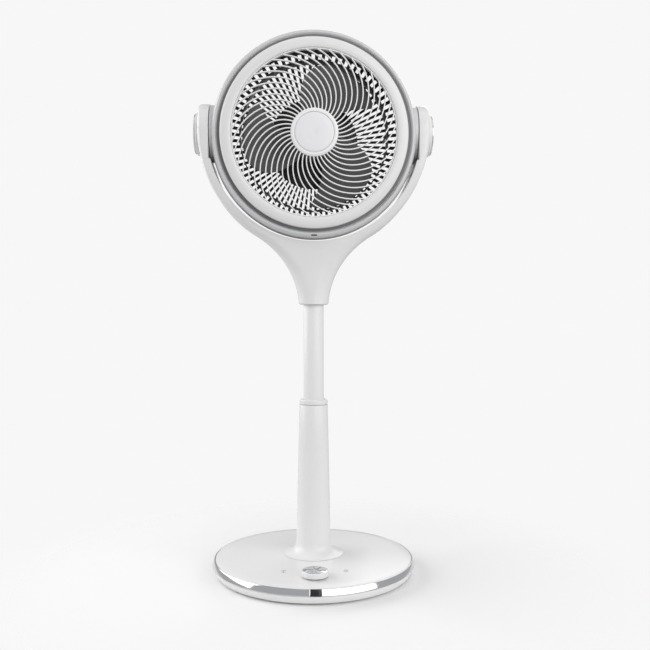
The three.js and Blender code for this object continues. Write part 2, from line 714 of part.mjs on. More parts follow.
function yokeMass(inset) {
  const outline = halfOutline(inset);
  const rising = outline.curves.flatMap((curve, i) => curve.getPoints([2, 6, 7][i]).slice(i ? 1 : 0));
  const armSteps = [0.4, 0.7, 0.9, 0.98];
  const above = armSteps.map((share) => (
    new THREE.Vector2(armOuter - inset, pivotHeight + share * (ARM_END_RADIUS - inset))
  ));
  const sections = [...rising, ...above].map((point) => {
    const depth = halfDepth(point.y + (point.y > pivotHeight ? inset : 0)) - inset;
    const squared = blendOver(point.y, neckFloor - NECK_FLOOR_THICKNESS, pivotHeight - ARM_END_RADIUS);
    const edge = NECK_RADIUS + (ARM_EDGE - NECK_RADIUS) * squared - inset;
    const limit = 0.995 * Math.min(point.x, depth);
    return roundedSection(point.x, depth, Math.min(edge, limit), point.y);
  });
  return lofted(sections);
}

// The space where the head swings, grown by a wall: a round bowl under the
// drum, and straight slots beside it down to just below its bosses.
function headSpace(wall) {
  const [radius, half] = [bowlInner + wall, armInner + wall];
  const reach = armOuter * 2;
  const ledge = pivotHeight - pocketDepth - wall;
  const bowl = solidOf(new THREE.CylinderGeometry(radius, radius, reach, FINE_TURN * 2)
    .translate(0, 0, pivotHeight - HEAD_DROP));
  const below = block([-reach, -reach, 0], [reach, reach, ledge + OVERCUT]);
  const above = block([-half, -reach, ledge], [half, reach, pivotHeight + reach]);
  return bowl.intersect(below).add(above);
}

function atPivot(profile, facets = SMALL_TURN) {
  return solidOf(turned(profile, facets).rotateZ(-Math.PI / 2).translate(0, 0, pivotHeight));
}

// Inside, the lower neck is solid round the post; above its floor it is hollow
// for the motor and the wires, except for a boss round each pivot.
function yokeSolid() {
  const bosses = atPivot(rod(PIVOT_BOSS_RADIUS, -armOuter, armOuter));
  const reach = armOuter * 2;
  const aboveFloor = block([-reach, -reach, neckFloor], [reach, reach, pivotHeight + reach]);
  const hollow = yokeMass(WALL).intersect(aboveFloor).subtract(headSpace(WALL)).subtract(bosses);
  const postPocket = upright([
    [0, neckBottom - OVERCUT], [TUBE_RADIUS + RUNNING, neckBottom - OVERCUT],
    [TUBE_RADIUS + RUNNING, tubeTop - SEAT], [POST_FLANGE_RADIUS + RUNNING, tubeTop - SEAT],
    [POST_FLANGE_RADIUS + RUNNING, washerTop + SEAT], [SPINDLE_RADIUS + SEAT, washerTop + SEAT],
    [SPINDLE_RADIUS + SEAT, neckFloor + OVERCUT], [0, neckFloor + OVERCUT],
  ], ROUND_TURN);
  const pinHole = atPivot(rod(PIVOT_PIN_RADIUS + SEAT, -armOuter - OVERCUT, 0));
  const shaftHole = atPivot(rod(DRIVE_SHAFT_RADIUS + SEAT, 0, armOuter + OVERCUT));
  return yokeMass(0).subtract(headSpace(0)).subtract(hollow)
    .subtract(joined([postPocket, pinHole, shaftHole]));
}

function yokeHalf(side) {
  const reach = armOuter * 2;
  const [near, far] = [side * SEAT / 2, side * reach].sort((a, b) => a - b);
  return yokeSolid().intersect(block([-reach, near, 0], [reach, far, pivotHeight + reach]));
}

// ---------- swivel between tube and neck ----------
function swivelPost() {
  const plug = TUBE_RADIUS - TUBE_WALL - SEAT;
  const bore = DRIVE_SHAFT_RADIUS + SEAT;
  return upright([
    [bore, neckBottom], [plug, neckBottom], [plug, tubeTop + SEAT],
    [POST_FLANGE_RADIUS, tubeTop + SEAT], [POST_FLANGE_RADIUS, flangeTop],
    [SPINDLE_RADIUS, flangeTop], [SPINDLE_RADIUS, spindleTop], [bore, spindleTop],
  ], ROUND_TURN);
}

function addSwivel(parent) {
  const motorBottom = neckFloor + SEAT;
  const motorTop = motorBottom + SWIVEL_MOTOR_HEIGHT;
  const socket = motorBottom + SWIVEL_MOTOR_HEIGHT / 2;
  const motor = upright([
    [DRIVE_SHAFT_RADIUS + SEAT, motorBottom], [SWIVEL_MOTOR_RADIUS, motorBottom],
    [SWIVEL_MOTOR_RADIUS, motorTop], [0, motorTop], [0, socket],
    [DRIVE_SHAFT_RADIUS + SEAT, socket],
  ].reverse(), ROUND_TURN);
  const washer = upright(
    tube(SPINDLE_RADIUS + SEAT, POST_FLANGE_RADIUS, flangeTop + SEAT, washerTop), ROUND_TURN,
  );
  parent.add(
    part('swivel_post', NYLON, swivelPost()),
    part('swivel_shaft', BRUSHED_STEEL, upright(
      rod(DRIVE_SHAFT_RADIUS, tubeTop, socket - SEAT), SMALL_TURN,
    )),
    part('swivel_washer', NYLON, washer),
    part('swivel_motor', BRUSHED_STEEL, motor),
  );
}

function pivotCap(side) {
  const inner = armOuter + SEAT;
  const outer = inner + CAP_HEIGHT;
  const middle = (inner + outer) / 2;
  const profile = [
    [0, inner], [CAP_RADIUS, inner], [CAP_RADIUS, middle], [CAP_RADIUS - CAP_STEP, middle],
    [CAP_RADIUS - CAP_STEP, outer - 1], [CAP_RADIUS - CAP_STEP - 1, outer], [0, outer],
  ];
  return atPivot(profile.map(([radius, along]) => [radius, side * along]), ROUND_TURN);
}

function addYoke(parent) {
  const pinInner = bossReach - BUSH_LENGTH_TILT;
  const motorInner = bossReach - WALL - SEAT - TILT_MOTOR_LENGTH;
  const shaftInner = motorInner + TILT_MOTOR_LENGTH / 2 + SEAT;
  parent.add(
    part('yoke_front_shell', WHITE_PLASTIC, yokeHalf(-1)),
    part('yoke_rear_shell', WHITE_PLASTIC, yokeHalf(1)),
    part('pivot_cap_left', WHITE_PLASTIC, pivotCap(-1)),
    part('pivot_cap_right', WHITE_PLASTIC, pivotCap(1)),
    part('pivot_pin', BRUSHED_STEEL, atPivot(rod(PIVOT_PIN_RADIUS, -armOuter, -pinInner))),
    part('tilt_shaft', BRUSHED_STEEL, atPivot(rod(DRIVE_SHAFT_RADIUS, shaftInner, armOuter))),
  );
}

// ---------- fan head: drum and front ring ----------
// Stations along the drum's axis are measured forwards from below the pivot.
function atBoss(profile, facets) {
  return solidOf(turned(profile, facets).rotateZ(-Math.PI / 2).translate(0, 0, HEAD_DROP));
}

const seamRadius = OPENING_RADIUS + BEZEL_WIDTH;
const seamDepth = FACE_DEPTH - BEZEL_FALL;
const bezelBack = seamDepth - BEZEL_SPIGOT;
const flangeDepth = bezelBack - SEAT;
const guardSeat = -BACK_DEPTH + GUARD_SEAT;
const guardBack = guardSeat + SEAT;
const guardRadius = BACK_OPENING + 3.5;

// The drum's wall is part of an oval before its crest and of a longer one
// behind it. The share runs from -1 at the rear edge to 1 at the front lip.
function drumWall(share, inset) {
  const [edge, reach] = share > 0
    ? [seamRadius + DRUM_LIP, seamDepth - DRUM_CREST]
    : [BACK_OPENING + WALL, BACK_DEPTH + DRUM_CREST];
  const radius = edge + (headRadius - edge) * Math.sqrt(1 - share ** 2);
  return [radius - inset, DRUM_CREST + share * reach];
}

function drumOutside() {
  const bulge = [0.9, 0.6, 0.2, -0.3, -0.6, -0.85].map((share) => drumWall(share, 0));
  return [
    [seamRadius + SEAM, seamDepth], [seamRadius + DRUM_LIP, seamDepth], ...bulge,
    [BACK_OPENING + WALL, -BACK_DEPTH],
  ];
}

function drumInside() {
  const bulge = [-0.85, -0.6, -0.3, 0.2].map((share) => drumWall(share, WALL));
  return [
    [BACK_OPENING, guardSeat], [guardRadius + SEAT, guardSeat], ...bulge,
    [seamRadius + DRUM_LIP, flangeDepth - WALL],
  ];
}

function drumSolid() {
  const flangeInner = seamRadius - BEZEL_WIDTH / 3;
  const wall = forward([
    ...drumOutside(), [BACK_OPENING, -BACK_DEPTH], ...drumInside(),
    [flangeInner, flangeDepth - WALL], [flangeInner, flangeDepth], [seamRadius + SEAM, flangeDepth],
  ], FINE_TURN);
  const inside = drumInside();
  const room = forward([
    [0, -BACK_DEPTH], [BACK_OPENING, -BACK_DEPTH], ...inside, [seamRadius + SEAM, flangeDepth - WALL],
    [seamRadius + SEAM, FACE_DEPTH], [0, FACE_DEPTH],
  ], FINE_TURN);
  const hole = TILT_BUSH_RADIUS + SEAT;
  const bosses = [-1, 1].map((side) => atBoss(
    [[0, side * BACK_OPENING], [BOSS_RADIUS, side * BACK_OPENING], [BOSS_RADIUS, side * bossReach],
      [0, side * bossReach]], FINE_TURN,
  ));
  const face = bossReach - WALL;
  const bossRoom = atBoss(rod(BOSS_RADIUS - WALL, -face, face), FINE_TURN);
  const bore = atBoss(rod(hole, -bossReach - OVERCUT, bossReach + OVERCUT), ROUND_TURN);
  return wall.add(joined(bosses).subtract(room)).subtract(bossRoom.intersect(drumCore()))
    .subtract(joined([bore, ...sideSlots()]));
}

// The guard's slots go on round the drum's rear edge, except at the bosses.
function sideSlots() {
  const pitch = radians(360 / GUARD_SPOKES);
  const half = BACK_OPENING * pitch * GUARD_SLOT_SHARE / 2;
  const besideBoss = Math.asin((BOSS_RADIUS + WALL) / BACK_OPENING) + pitch / 2;
  const slot = block(
    [-half, SIDE_SLOT_REAR - SIDE_SLOT_LENGTH, BACK_OPENING - WALL],
    [half, SIDE_SLOT_REAR, headRadius + OVERCUT],
  );
  return inCircle(GUARD_SPOKES, (i, degrees) => degrees)
    .filter((degrees) => Math.abs(Math.cos(radians(degrees))) > Math.sin(besideBoss))
    .map((degrees) => slot.rotate([0, degrees, 0]));
}

// Everything between the front flange and the guard's seat, out to the bosses.
function drumCore() {
  return forward(rod(bossReach, guardSeat + WALL * 2, flangeDepth - WALL * 2), FINE_TURN);
}

function sensorBlock(clearance) {
  const half = SENSOR_WIDTH / 2 + clearance;
  const middle = -(seamRadius + DRUM_LIP * 1.25);
  return block(
    [-half, -seamDepth - OVERCUT, middle - SENSOR_HEIGHT / 2 - clearance],
    [half, -seamDepth / 2, middle + SENSOR_HEIGHT / 2 + clearance],
  );
}

function frontBezel() {
  const opening = OPENING_RADIUS;
  const inner = opening + BEZEL_THICKNESS;
  const shoulder = opening + BEZEL_SHOULDER;
  const shoulderDepth = FACE_DEPTH - BEZEL_SHOULDER_FALL;
  const skirt = seamDepth - BEZEL_SKIRT;
  const spigot = seamRadius - BEZEL_THICKNESS;
  return forward([
    [opening, skirt], [opening, FACE_DEPTH - BEZEL_EDGE],
    [opening + BEZEL_EDGE, FACE_DEPTH - BEZEL_EDGE / 4], [opening + BEZEL_FLAT, FACE_DEPTH],
    [shoulder, shoulderDepth], [seamRadius, seamDepth],
    [seamRadius, bezelBack], [spigot, bezelBack],
    [spigot, seamDepth - 1], [shoulder - BEZEL_EDGE, shoulderDepth - BEZEL_THICKNESS],
    [inner, FACE_DEPTH - 1 - BEZEL_THICKNESS], [inner, skirt],
  ], FINE_TURN);
}

// ---------- front grille ----------
const grilleRadius = OPENING_RADIUS - SEAT;
const grilleFace = FACE_DEPTH - 3;
const grilleFlat = grilleFace - RIB_DEPTH;

function crown(radius) {
  return GRILLE_CROWN * (1 - (radius / grilleRadius) ** 2);
}

function ribAngle(radius, index) {
  const share = Math.max((radius - HUB_RADIUS) / (grilleRadius - HUB_RADIUS), 0);
  return RIB_PHASE + (360 * index) / RIB_COUNT + RIB_SWEEP * share ** RIB_CURL;
}

// One rib, drawn flat as a curved strip seen from the front, given its depth
// and then bent to the grille's crown.
function spiralRib(index) {
  const [start, end] = [HUB_RADIUS - HUB_RIM / 2, grilleRadius - GRILLE_RIM_WIDTH];
  const centre = (share) => new THREE.Vector2(
    ...onCircle(start + (end - start) * share, ribAngle(start + (end - start) * share, index)),
  );
  const shares = Array.from({ length: RIB_STEPS + 1 }, (_, i) => i / RIB_STEPS);
  const edge = (side) => shares.map((share) => {
    const along = centre(share + 0.01).sub(centre(share - 0.01)).normalize();
    return centre(share).add(new THREE.Vector2(-along.y, along.x).multiplyScalar(side * RIB_WIDTH / 2));
  });
  const strip = new THREE.Shape([...edge(-1), ...edge(1).reverse()]);
  const geometry = new THREE.ExtrudeGeometry(strip, { depth: RIB_DEPTH, bevelEnabled: false });
  geometry.rotateX(Math.PI / 2).translate(0, -grilleFlat, 0);
  const place = geometry.attributes.position;
  for (let i = 0; i < place.count; i += 1) {
    place.setY(i, place.getY(i) - crown(Math.hypot(place.getX(i), place.getZ(i))));
  }
  return solidOf(geometry);
}

const hubBack = grilleFlat + crown(HUB_RADIUS) - 1;
const hubFront = hubBack + HUB_HEIGHT;
const badgeSeat = hubFront - BADGE_THICKNESS;
const badgeRadius = HUB_RADIUS - HUB_RIM;

function frontGrille() {
  const hub = forward([
    [0, hubBack], [HUB_RADIUS, hubBack], [HUB_RADIUS, hubFront - 1.5], [HUB_RADIUS - 1.5, hubFront],
    [badgeRadius, hubFront], [badgeRadius, badgeSeat - SEAT], [0, badgeSeat - SEAT],
  ], ROUND_TURN);
  const rim = forward(
    tube(grilleRadius - GRILLE_RIM_WIDTH, grilleRadius, grilleFace - GRILLE_RIM_DEPTH, grilleFace),
    FINE_TURN,
  );
  return joined([hub, rim, ...inCircle(RIB_COUNT, (i) => spiralRib(i))]);
}

function hubBadge() {
  const radius = badgeRadius - SEAT;
  return forward([
    [0, badgeSeat], [radius, badgeSeat], [radius, hubFront - 0.8], [radius - 0.8, hubFront - 0.2],
    [radius / 2, hubFront + 0.3], [0, hubFront + 0.5],
  ], ROUND_TURN);
}

// ---------- rear guard, motor and fan ----------
const discFront = guardBack + GUARD_THICKNESS;
const motorBack = discFront + SEAT;
const motorFront = motorBack + MOTOR_LENGTH;
const rotorBack = motorBack + MOTOR_BEARING_LENGTH + MOTOR_WALL;
const rotorFront = motorFront - MOTOR_BEARING_LENGTH - MOTOR_WALL;
const fanBack = motorFront + RUNNING * 3;
const fanFront = fanBack + FAN_HUB_LENGTH;
const fanRadius = OPENING_RADIUS - FAN_INSET;
const shaftBore = FAN_SHAFT_RADIUS + SEAT;

// The guard is one plate: a disc behind the motor and a rim, with the slots
// between its spokes cut right through.
function rearGuard() {
  const slotEnd = guardRadius - GUARD_RIM_WIDTH;
  const plate = new THREE.Shape();
  plate.setFromPoints(inCircle(FINE_TURN, (i, degrees) => (
    new THREE.Vector2(...onCircle(guardRadius, degrees + 90))
  )));
  inCircle(GUARD_SPOKES, (i, degrees) => {
    const half = (180 / GUARD_SPOKES) * GUARD_SLOT_SHARE;
    const corner = (radius, turn) => new THREE.Vector2(...onCircle(radius, degrees + half * turn));
    plate.holes.push(new THREE.Path([
      corner(GUARD_DISC_RADIUS, -1), corner(slotEnd, -1),
      corner(slotEnd, 1), corner(GUARD_DISC_RADIUS, 1),
    ]));
  });
  const geometry = new THREE.ExtrudeGeometry(plate, { depth: GUARD_THICKNESS, bevelEnabled: false });
  return solidOf(geometry.rotateX(Math.PI / 2).translate(0, -guardBack, 0));
}

// A short duct round the blades' tips, on posts that stand on the guard.
function airDuct() {
  const inner = fanRadius + RUNNING * 1.5;
  const ringFront = fanFront - SEAT;
  const ringBack = ringFront - DUCT_LENGTH;
  const ring = forward(tube(inner, inner + DUCT_WALL, ringBack, ringFront), FINE_TURN);
  const middle = inner + DUCT_WALL / 2;
  const post = block(
    [-DUCT_POST_WIDTH / 2, -ringBack - OVERCUT, middle - DUCT_WALL / 2],
    [DUCT_POST_WIDTH / 2, -discFront - SEAT, middle + DUCT_WALL / 2],
  );
  const onSpoke = 180 / GUARD_SPOKES; // a slot is straight above the middle
  const posts = inCircle(DUCT_POSTS, (i, degrees) => post.rotate([0, degrees + onSpoke, 0]));
  return joined([ring, ...posts]);
}

function motorCover() {
  const front = guardBack - SEAT;
  const back = front - MOTOR_COVER_DEPTH;
  const inner = MOTOR_COVER_RADIUS - WALL;
  return forward([
    [0, back - MOTOR_COVER_DOME], [MOTOR_COVER_RADIUS / 2, back - MOTOR_COVER_DOME * 0.8],
    [MOTOR_COVER_RADIUS - 10, back - 1], [MOTOR_COVER_RADIUS - 2, back + 6],
    [MOTOR_COVER_RADIUS, front], [inner, front], [inner - 2, back + 7],
    [inner - 10, back + WALL], [MOTOR_COVER_RADIUS / 2, back + WALL - MOTOR_COVER_DOME * 0.8],
    [0, back + WALL - MOTOR_COVER_DOME],
  ], ROUND_TURN);
}

function motorHousing() {
  const outer = MOTOR_RADIUS;
  const inner = MOTOR_RADIUS - MOTOR_WALL;
  const seat = MOTOR_BEARING_RADIUS + SEAT;
  const roof = motorFront - MOTOR_WALL;
  const collar = motorFront - MOTOR_BEARING_LENGTH;
  return forward([
    [inner, motorBack], [outer, motorBack], [outer, motorFront - 2], [outer - 2, motorFront],
    [seat, motorFront], [seat, collar], [seat + MOTOR_WALL, collar], [seat + MOTOR_WALL, roof],
    [inner, roof],
  ], ROUND_TURN);
}

function motorEndPlate() {
  const seat = MOTOR_BEARING_RADIUS + SEAT;
  const plate = motorBack + MOTOR_WALL;
  return forward([
    [seat, motorBack], [MOTOR_RADIUS - MOTOR_WALL - SEAT, motorBack],
    [MOTOR_RADIUS - MOTOR_WALL - SEAT, plate], [seat + MOTOR_WALL, plate],
    [seat + MOTOR_WALL, motorBack + MOTOR_BEARING_LENGTH], [seat, motorBack + MOTOR_BEARING_LENGTH],
  ], ROUND_TURN);
}

// A blade is a thin twisted sheet. Across runs from 0 at the trailing edge,
// nearest the front, to 1 at the leading edge; out runs from hub to tip.
function fanBlade(phase) {
  const [root, reach] = [FAN_HUB_RADIUS - FAN_HUB_WALL / 2, fanRadius - FAN_HUB_RADIUS];
  const middle = (fanBack + fanFront) / 2;
  const face = (offset) => {
    const points = [];
    for (let i = 0; i <= BLADE_STEPS; i += 1) {
      const out = i / BLADE_STEPS;
      const span = BLADE_SPAN * (1 - 0.1 * out ** 6);
      for (let k = 0; k <= BLADE_STEPS; k += 1) {
        const across = k / BLADE_STEPS - 0.5;
        const round = (Math.abs(across) * 2) ** 4;
        const radius = root + (reach + FAN_HUB_WALL / 2) * out - 7 * round * out ** 4;
        const [x, z] = onCircle(radius, phase - BLADE_SKEW * out ** 1.2 - span * across);
        const rise = -BLADE_RISE * across * (1 - 0.25 * out);
        points.push(new THREE.Vector3(x, -(middle + rise + offset), z));
      }
    }
    return points;
  };
  const points = [...face(BLADE_THICKNESS / 2), ...face(-BLADE_THICKNESS / 2)];
  return solidOf(sheetBetween(points, BLADE_STEPS + 1));
}

// Two square grids of points, one behind the other, closed all round.
function sheetBetween(points, side) {
  const back = side * side;
  const corners = [];
  const quad = (a, b, c, d) => corners.push(a, b, c, a, c, d);
  for (let i = 0; i + 1 < side; i += 1) {
    for (let k = 0; k + 1 < side; k += 1) {
      const a = i * side + k;
      quad(a, a + side, a + side + 1, a + 1);
      quad(back + a, back + a + 1, back + a + side + 1, back + a + side);
    }
    const [left, right, low, high] = [i * side, i * side + side - 1, i, back - side + i];
    quad(left, back + left, back + left + side, left + side);
    quad(right, right + side, back + right + side, back + right);
    quad(low, low + 1, back + low + 1, back + low);
    quad(high, back + high, back + high + 1, high + 1);
  }
  const geometry = new THREE.BufferGeometry().setFromPoints(points);
  geometry.setIndex(corners);
  return geometry;
}

function fanImpeller() {
  const hub = forward([
    [shaftBore, fanBack], [shaftBore + FAN_HUB_WALL, fanBack],
    [shaftBore + FAN_HUB_WALL, fanFront - FAN_HUB_WALL], [FAN_HUB_RADIUS - 8, fanFront - FAN_HUB_WALL],
    [FAN_HUB_RADIUS - FAN_HUB_WALL, fanFront - 9], [FAN_HUB_RADIUS - FAN_HUB_WALL, fanBack],
    [FAN_HUB_RADIUS, fanBack], [FAN_HUB_RADIUS, fanFront - 7], [FAN_HUB_RADIUS - 7, fanFront],
    [shaftBore, fanFront],
  ], ROUND_TURN);
  const blades = inCircle(BLADE_COUNT, (i, degrees) => fanBlade(BLADE_PHASE + degrees));
  const room = forward(tube(
    shaftBore + FAN_HUB_WALL, FAN_HUB_RADIUS - FAN_HUB_WALL, fanBack - OVERCUT, fanFront - 9,
  ), ROUND_TURN);
  return hub.add(joined(blades).subtract(room).intersect(forward(
    tube(FAN_HUB_RADIUS - FAN_HUB_WALL, fanRadius + OVERCUT, -BACK_DEPTH, FACE_DEPTH), ROUND_TURN,
  )));
}

function bearing(low) {
  return forward(
    tube(shaftBore, MOTOR_BEARING_RADIUS, low, low + MOTOR_BEARING_LENGTH), SMALL_TURN,
  );
}

function addFan(parent) {
  const nutBack = fanFront + SEAT;
  const [statorOuter, statorInner] = [MOTOR_RADIUS - MOTOR_WALL - SEAT, ROTOR_RADIUS + SEAT];
  parent.add(
    part('motor_shaft', BRUSHED_STEEL, forward(rod(FAN_SHAFT_RADIUS, motorBack, nutBack + 4), SMALL_TURN)),
    part('motor_rotor', CAST_IRON, forward(
      tube(shaftBore, ROTOR_RADIUS, rotorBack, rotorFront), ROUND_TURN,
    )),
    part('fan_impeller', GRAPHITE, fanImpeller()),
    part('fan_nut', GRAPHITE, forward([
      [0, nutBack + FAN_NUT_LENGTH], [0, nutBack + 4 + SEAT], [shaftBore, nutBack + 4 + SEAT],
      [shaftBore, nutBack], [FAN_NUT_RADIUS, nutBack], [FAN_NUT_RADIUS - 2, nutBack + FAN_NUT_LENGTH],
    ].reverse(), SMALL_TURN)),
    part('motor_stator', COPPER, forward(tube(statorInner, statorOuter, rotorBack, rotorFront), ROUND_TURN)),
  );
}

// ---------- head assembly ----------
function tiltMotor() {
  const seat = bossReach - WALL - SEAT;
  const back = seat - TILT_MOTOR_LENGTH;
  const bore = DRIVE_SHAFT_RADIUS + SEAT;
  const socket = back + TILT_MOTOR_LENGTH / 2;
  return atBoss([
    [0, back], [TILT_MOTOR_RADIUS, back], [TILT_MOTOR_RADIUS, seat], [TILT_BUSH_RADIUS, seat],
    [TILT_BUSH_RADIUS, bossReach], [bore, bossReach], [bore, socket], [0, socket],
  ], ROUND_TURN);
}

function pivotBush() {
  const bore = PIVOT_PIN_RADIUS + SEAT;
  const seat = bossReach - WALL - SEAT;
  return atBoss([
    [bore, -bossReach], [TILT_BUSH_RADIUS, -bossReach], [TILT_BUSH_RADIUS, -seat],
    [TILT_BUSH_RADIUS + WALL, -seat], [TILT_BUSH_RADIUS + WALL, WALL - seat],
    [TILT_BUSH_RADIUS, WALL - seat], [TILT_BUSH_RADIUS, BUSH_LENGTH_TILT - bossReach],
    [bore, BUSH_LENGTH_TILT - bossReach],
  ], ROUND_TURN);
}

function addHead(parent) {
  const drum = drumSolid();
  const boardBack = guardBack - SEAT - BOARD_THICKNESS;
  const driver = forward(rod(MOTOR_COVER_RADIUS - 12, boardBack, guardBack - SEAT), ROUND_TURN);
  parent.add(
    part('head_shell', SILVER_WHITE, drum.subtract(sensorBlock(SEAT))),
    part('sensor_window', BLACK_PLASTIC, drum.intersect(sensorBlock(0))),
    part('front_bezel', WHITE_PLASTIC, frontBezel()),
    part('front_grille', WHITE_PLASTIC, frontGrille()),
    part('hub_badge', BADGE_GREY, hubBadge()),
    part('rear_guard', BLACK_PLASTIC, rearGuard()),
    part('air_duct', BLACK_PLASTIC, airDuct()),
    part('motor_cover', SILVER_WHITE, motorCover()),
    part('driver_board', BOARD_GREEN, driver),
    part('motor_housing', BRUSHED_STEEL, motorHousing()),
    part('motor_end_plate', BRUSHED_STEEL, motorEndPlate()),
    part('motor_bearing_front', BRUSHED_STEEL, bearing(motorFront - MOTOR_BEARING_LENGTH)),
    part('motor_bearing_rear', BRUSHED_STEEL, bearing(motorBack)),
    part('pivot_bush', NYLON, pivotBush()),
    part('tilt_motor', BRUSHED_STEEL, tiltMotor()),
  );
}

const group = new THREE.Group();
const head = new THREE.Group();
const drum = new THREE.Group();
head.position.set(0, 0, pivotHeight);
head.rotation.x = radians(REST_TILT);
drum.position.set(0, 0, -HEAD_DROP);

addBase(group);
addControls(group);
addColumn(group);
addSwivel(group);
addYoke(group);
addHead(drum);
addFan(drum);
head.add(drum);
group.add(head);

export default group;
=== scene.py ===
import math

import bpy
from mathutils import Matrix, Vector


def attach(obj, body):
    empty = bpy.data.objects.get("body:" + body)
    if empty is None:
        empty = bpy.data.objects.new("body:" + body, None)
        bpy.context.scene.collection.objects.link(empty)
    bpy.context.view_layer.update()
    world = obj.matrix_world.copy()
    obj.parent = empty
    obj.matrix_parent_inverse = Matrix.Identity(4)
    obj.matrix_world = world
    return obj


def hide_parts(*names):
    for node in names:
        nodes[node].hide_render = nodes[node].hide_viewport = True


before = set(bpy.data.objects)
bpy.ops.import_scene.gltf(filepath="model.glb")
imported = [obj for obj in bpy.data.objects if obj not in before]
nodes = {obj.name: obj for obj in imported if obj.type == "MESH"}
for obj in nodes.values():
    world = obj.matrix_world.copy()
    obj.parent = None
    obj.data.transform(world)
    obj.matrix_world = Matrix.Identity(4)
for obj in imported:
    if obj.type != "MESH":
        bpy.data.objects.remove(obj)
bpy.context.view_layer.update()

scene = bpy.context.scene

# ---------- camera ----------
# The photograph is taken from about 1.3 m in front, with the lens held level
# at the height of the tube and a little to the left of the middle.
LENS_MM = 41.62
VIEW_TURN = math.radians(-2.0)
SENSOR_MM = 36.0
CAMERA_PLACE = (-0.0258, -1.3039, 0.4257)
camera_data = bpy.data.cameras.new("camera")
camera_data.lens = LENS_MM
camera_data.sensor_width = SENSOR_MM
camera = bpy.data.objects.new("camera", camera_data)
scene.collection.objects.link(camera)
camera.location = CAMERA_PLACE
camera.rotation_euler = (math.radians(90.0), 0.0, VIEW_TURN)
scene.camera = camera
scene.view_settings.view_transform = "Standard"

# ---------- studio light ----------
# A white room lights the fan evenly. A wide panel in front at the right and
# another behind at the left give the white streaks on the chrome band and the
# pale edges of the column. What the chrome reflects besides is pale grey.
ROOM_WHITE = 0.93
LIGHT_SHARE = 0.46
REFLECTED_SHARE = 0.55
SEEN_SHARE = 1.0
LAMP_AIM = (0.0, 0.0, 0.5)
world = bpy.data.worlds.new("studio")
scene.world = world
world.use_nodes = True
air = world.node_tree
air.nodes.clear()


def surroundings(strength):
    """The room's even white at a strength."""
    shade = air.nodes.new("ShaderNodeBackground")
    shade.inputs["Color"].default_value = (ROOM_WHITE, ROOM_WHITE, ROOM_WHITE, 1.0)
    shade.inputs["Strength"].default_value = strength
    return shade.outputs[0]


rays = air.nodes.new("ShaderNodeLightPath")
straight = air.nodes.new("ShaderNodeMath")
straight.operation = "MAXIMUM"
air.links.new(rays.outputs["Is Camera Ray"], straight.inputs[0])
air.links.new(rays.outputs["Is Transmission Ray"], straight.inputs[1])
reflected = air.nodes.new("ShaderNodeMixShader")
air.links.new(rays.outputs["Is Glossy Ray"], reflected.inputs["Fac"])
air.links.new(surroundings(LIGHT_SHARE), reflected.inputs[1])
air.links.new(surroundings(REFLECTED_SHARE), reflected.inputs[2])
choose = air.nodes.new("ShaderNodeMixShader")
air.links.new(straight.outputs[0], choose.inputs["Fac"])
air.links.new(reflected.outputs[0], choose.inputs[1])
air.links.new(surroundings(SEEN_SHARE), choose.inputs[2])
out = air.nodes.new("ShaderNodeOutputWorld")
air.links.new(choose.outputs[0], out.inputs["Surface"])


def soft_box(name, place, target, width, height, power):
    """A rectangular lamp that faces the target."""
    lamp_data = bpy.data.lights.new(name, "AREA")
    lamp_data.shape = "RECTANGLE"
    lamp_data.size = width
    lamp_data.size_y = height
    lamp_data.energy = power
    lamp = bpy.data.objects.new(name, lamp_data)
    scene.collection.objects.link(lamp)
    lamp.location = place
    lamp.rotation_euler = (Vector(target) - Vector(place)).to_track_quat("-Z", "Y").to_euler()
    return lamp


soft_box("panel_right", (1.3, -1.65, 1.15), LAMP_AIM, 2.7, 1.7, 29.0)
soft_box("panel_left", (-1.85, 0.4, 1.15), LAMP_AIM, 2.6, 1.7, 34.0)
soft_box("panel_above", (0.1, -0.5, 2.4), (0.0, 0.0, 0.3), 1.4, 1.4, 4.0)
soft_box("panel_behind", (0.8, 1.9, 1.4), LAMP_AIM, 1.2, 1.4, 8.0)

# ---------- floor ----------
# A sheet of white board. It keeps the shadow under the base and fades into
# the backdrop further out.
FLOOR_SIZE = 3.0
FADE_START = 0.22
FADE_END = 0.62
bpy.ops.object.select_all(action="DESELECT")
bpy.ops.mesh.primitive_plane_add(size=FLOOR_SIZE, location=(0.0, 0.0, 0.0))
floor = bpy.context.object
floor.name = "floor"
board = bpy.data.materials.new("white_board")
board.use_nodes = True
tree = board.node_tree
tree.nodes.clear()
place = tree.nodes.new("ShaderNodeTexCoord")
distance = tree.nodes.new("ShaderNodeVectorMath")
distance.operation = "LENGTH"
tree.links.new(place.outputs["Object"], distance.inputs[0])
fade = tree.nodes.new("ShaderNodeMapRange")
fade.interpolation_type = "SMOOTHSTEP"
fade.inputs["From Min"].default_value = FADE_START
fade.inputs["From Max"].default_value = FADE_END
tree.links.new(distance.outputs["Value"], fade.inputs["Value"])
matt = tree.nodes.new("ShaderNodeBsdfDiffuse")
matt.inputs["Color"].default_value = (ROOM_WHITE, ROOM_WHITE, ROOM_WHITE, 1.0)
clear = tree.nodes.new("ShaderNodeBsdfTransparent")
blend = tree.nodes.new("ShaderNodeMixShader")
tree.links.new(fade.outputs["Result"], blend.inputs["Fac"])
tree.links.new(matt.outputs[0], blend.inputs[1])
tree.links.new(clear.outputs[0], blend.inputs[2])
surface = tree.nodes.new("ShaderNodeOutputMaterial")
tree.links.new(blend.outputs[0], surface.inputs["Surface"])
floor.data.materials.append(board)

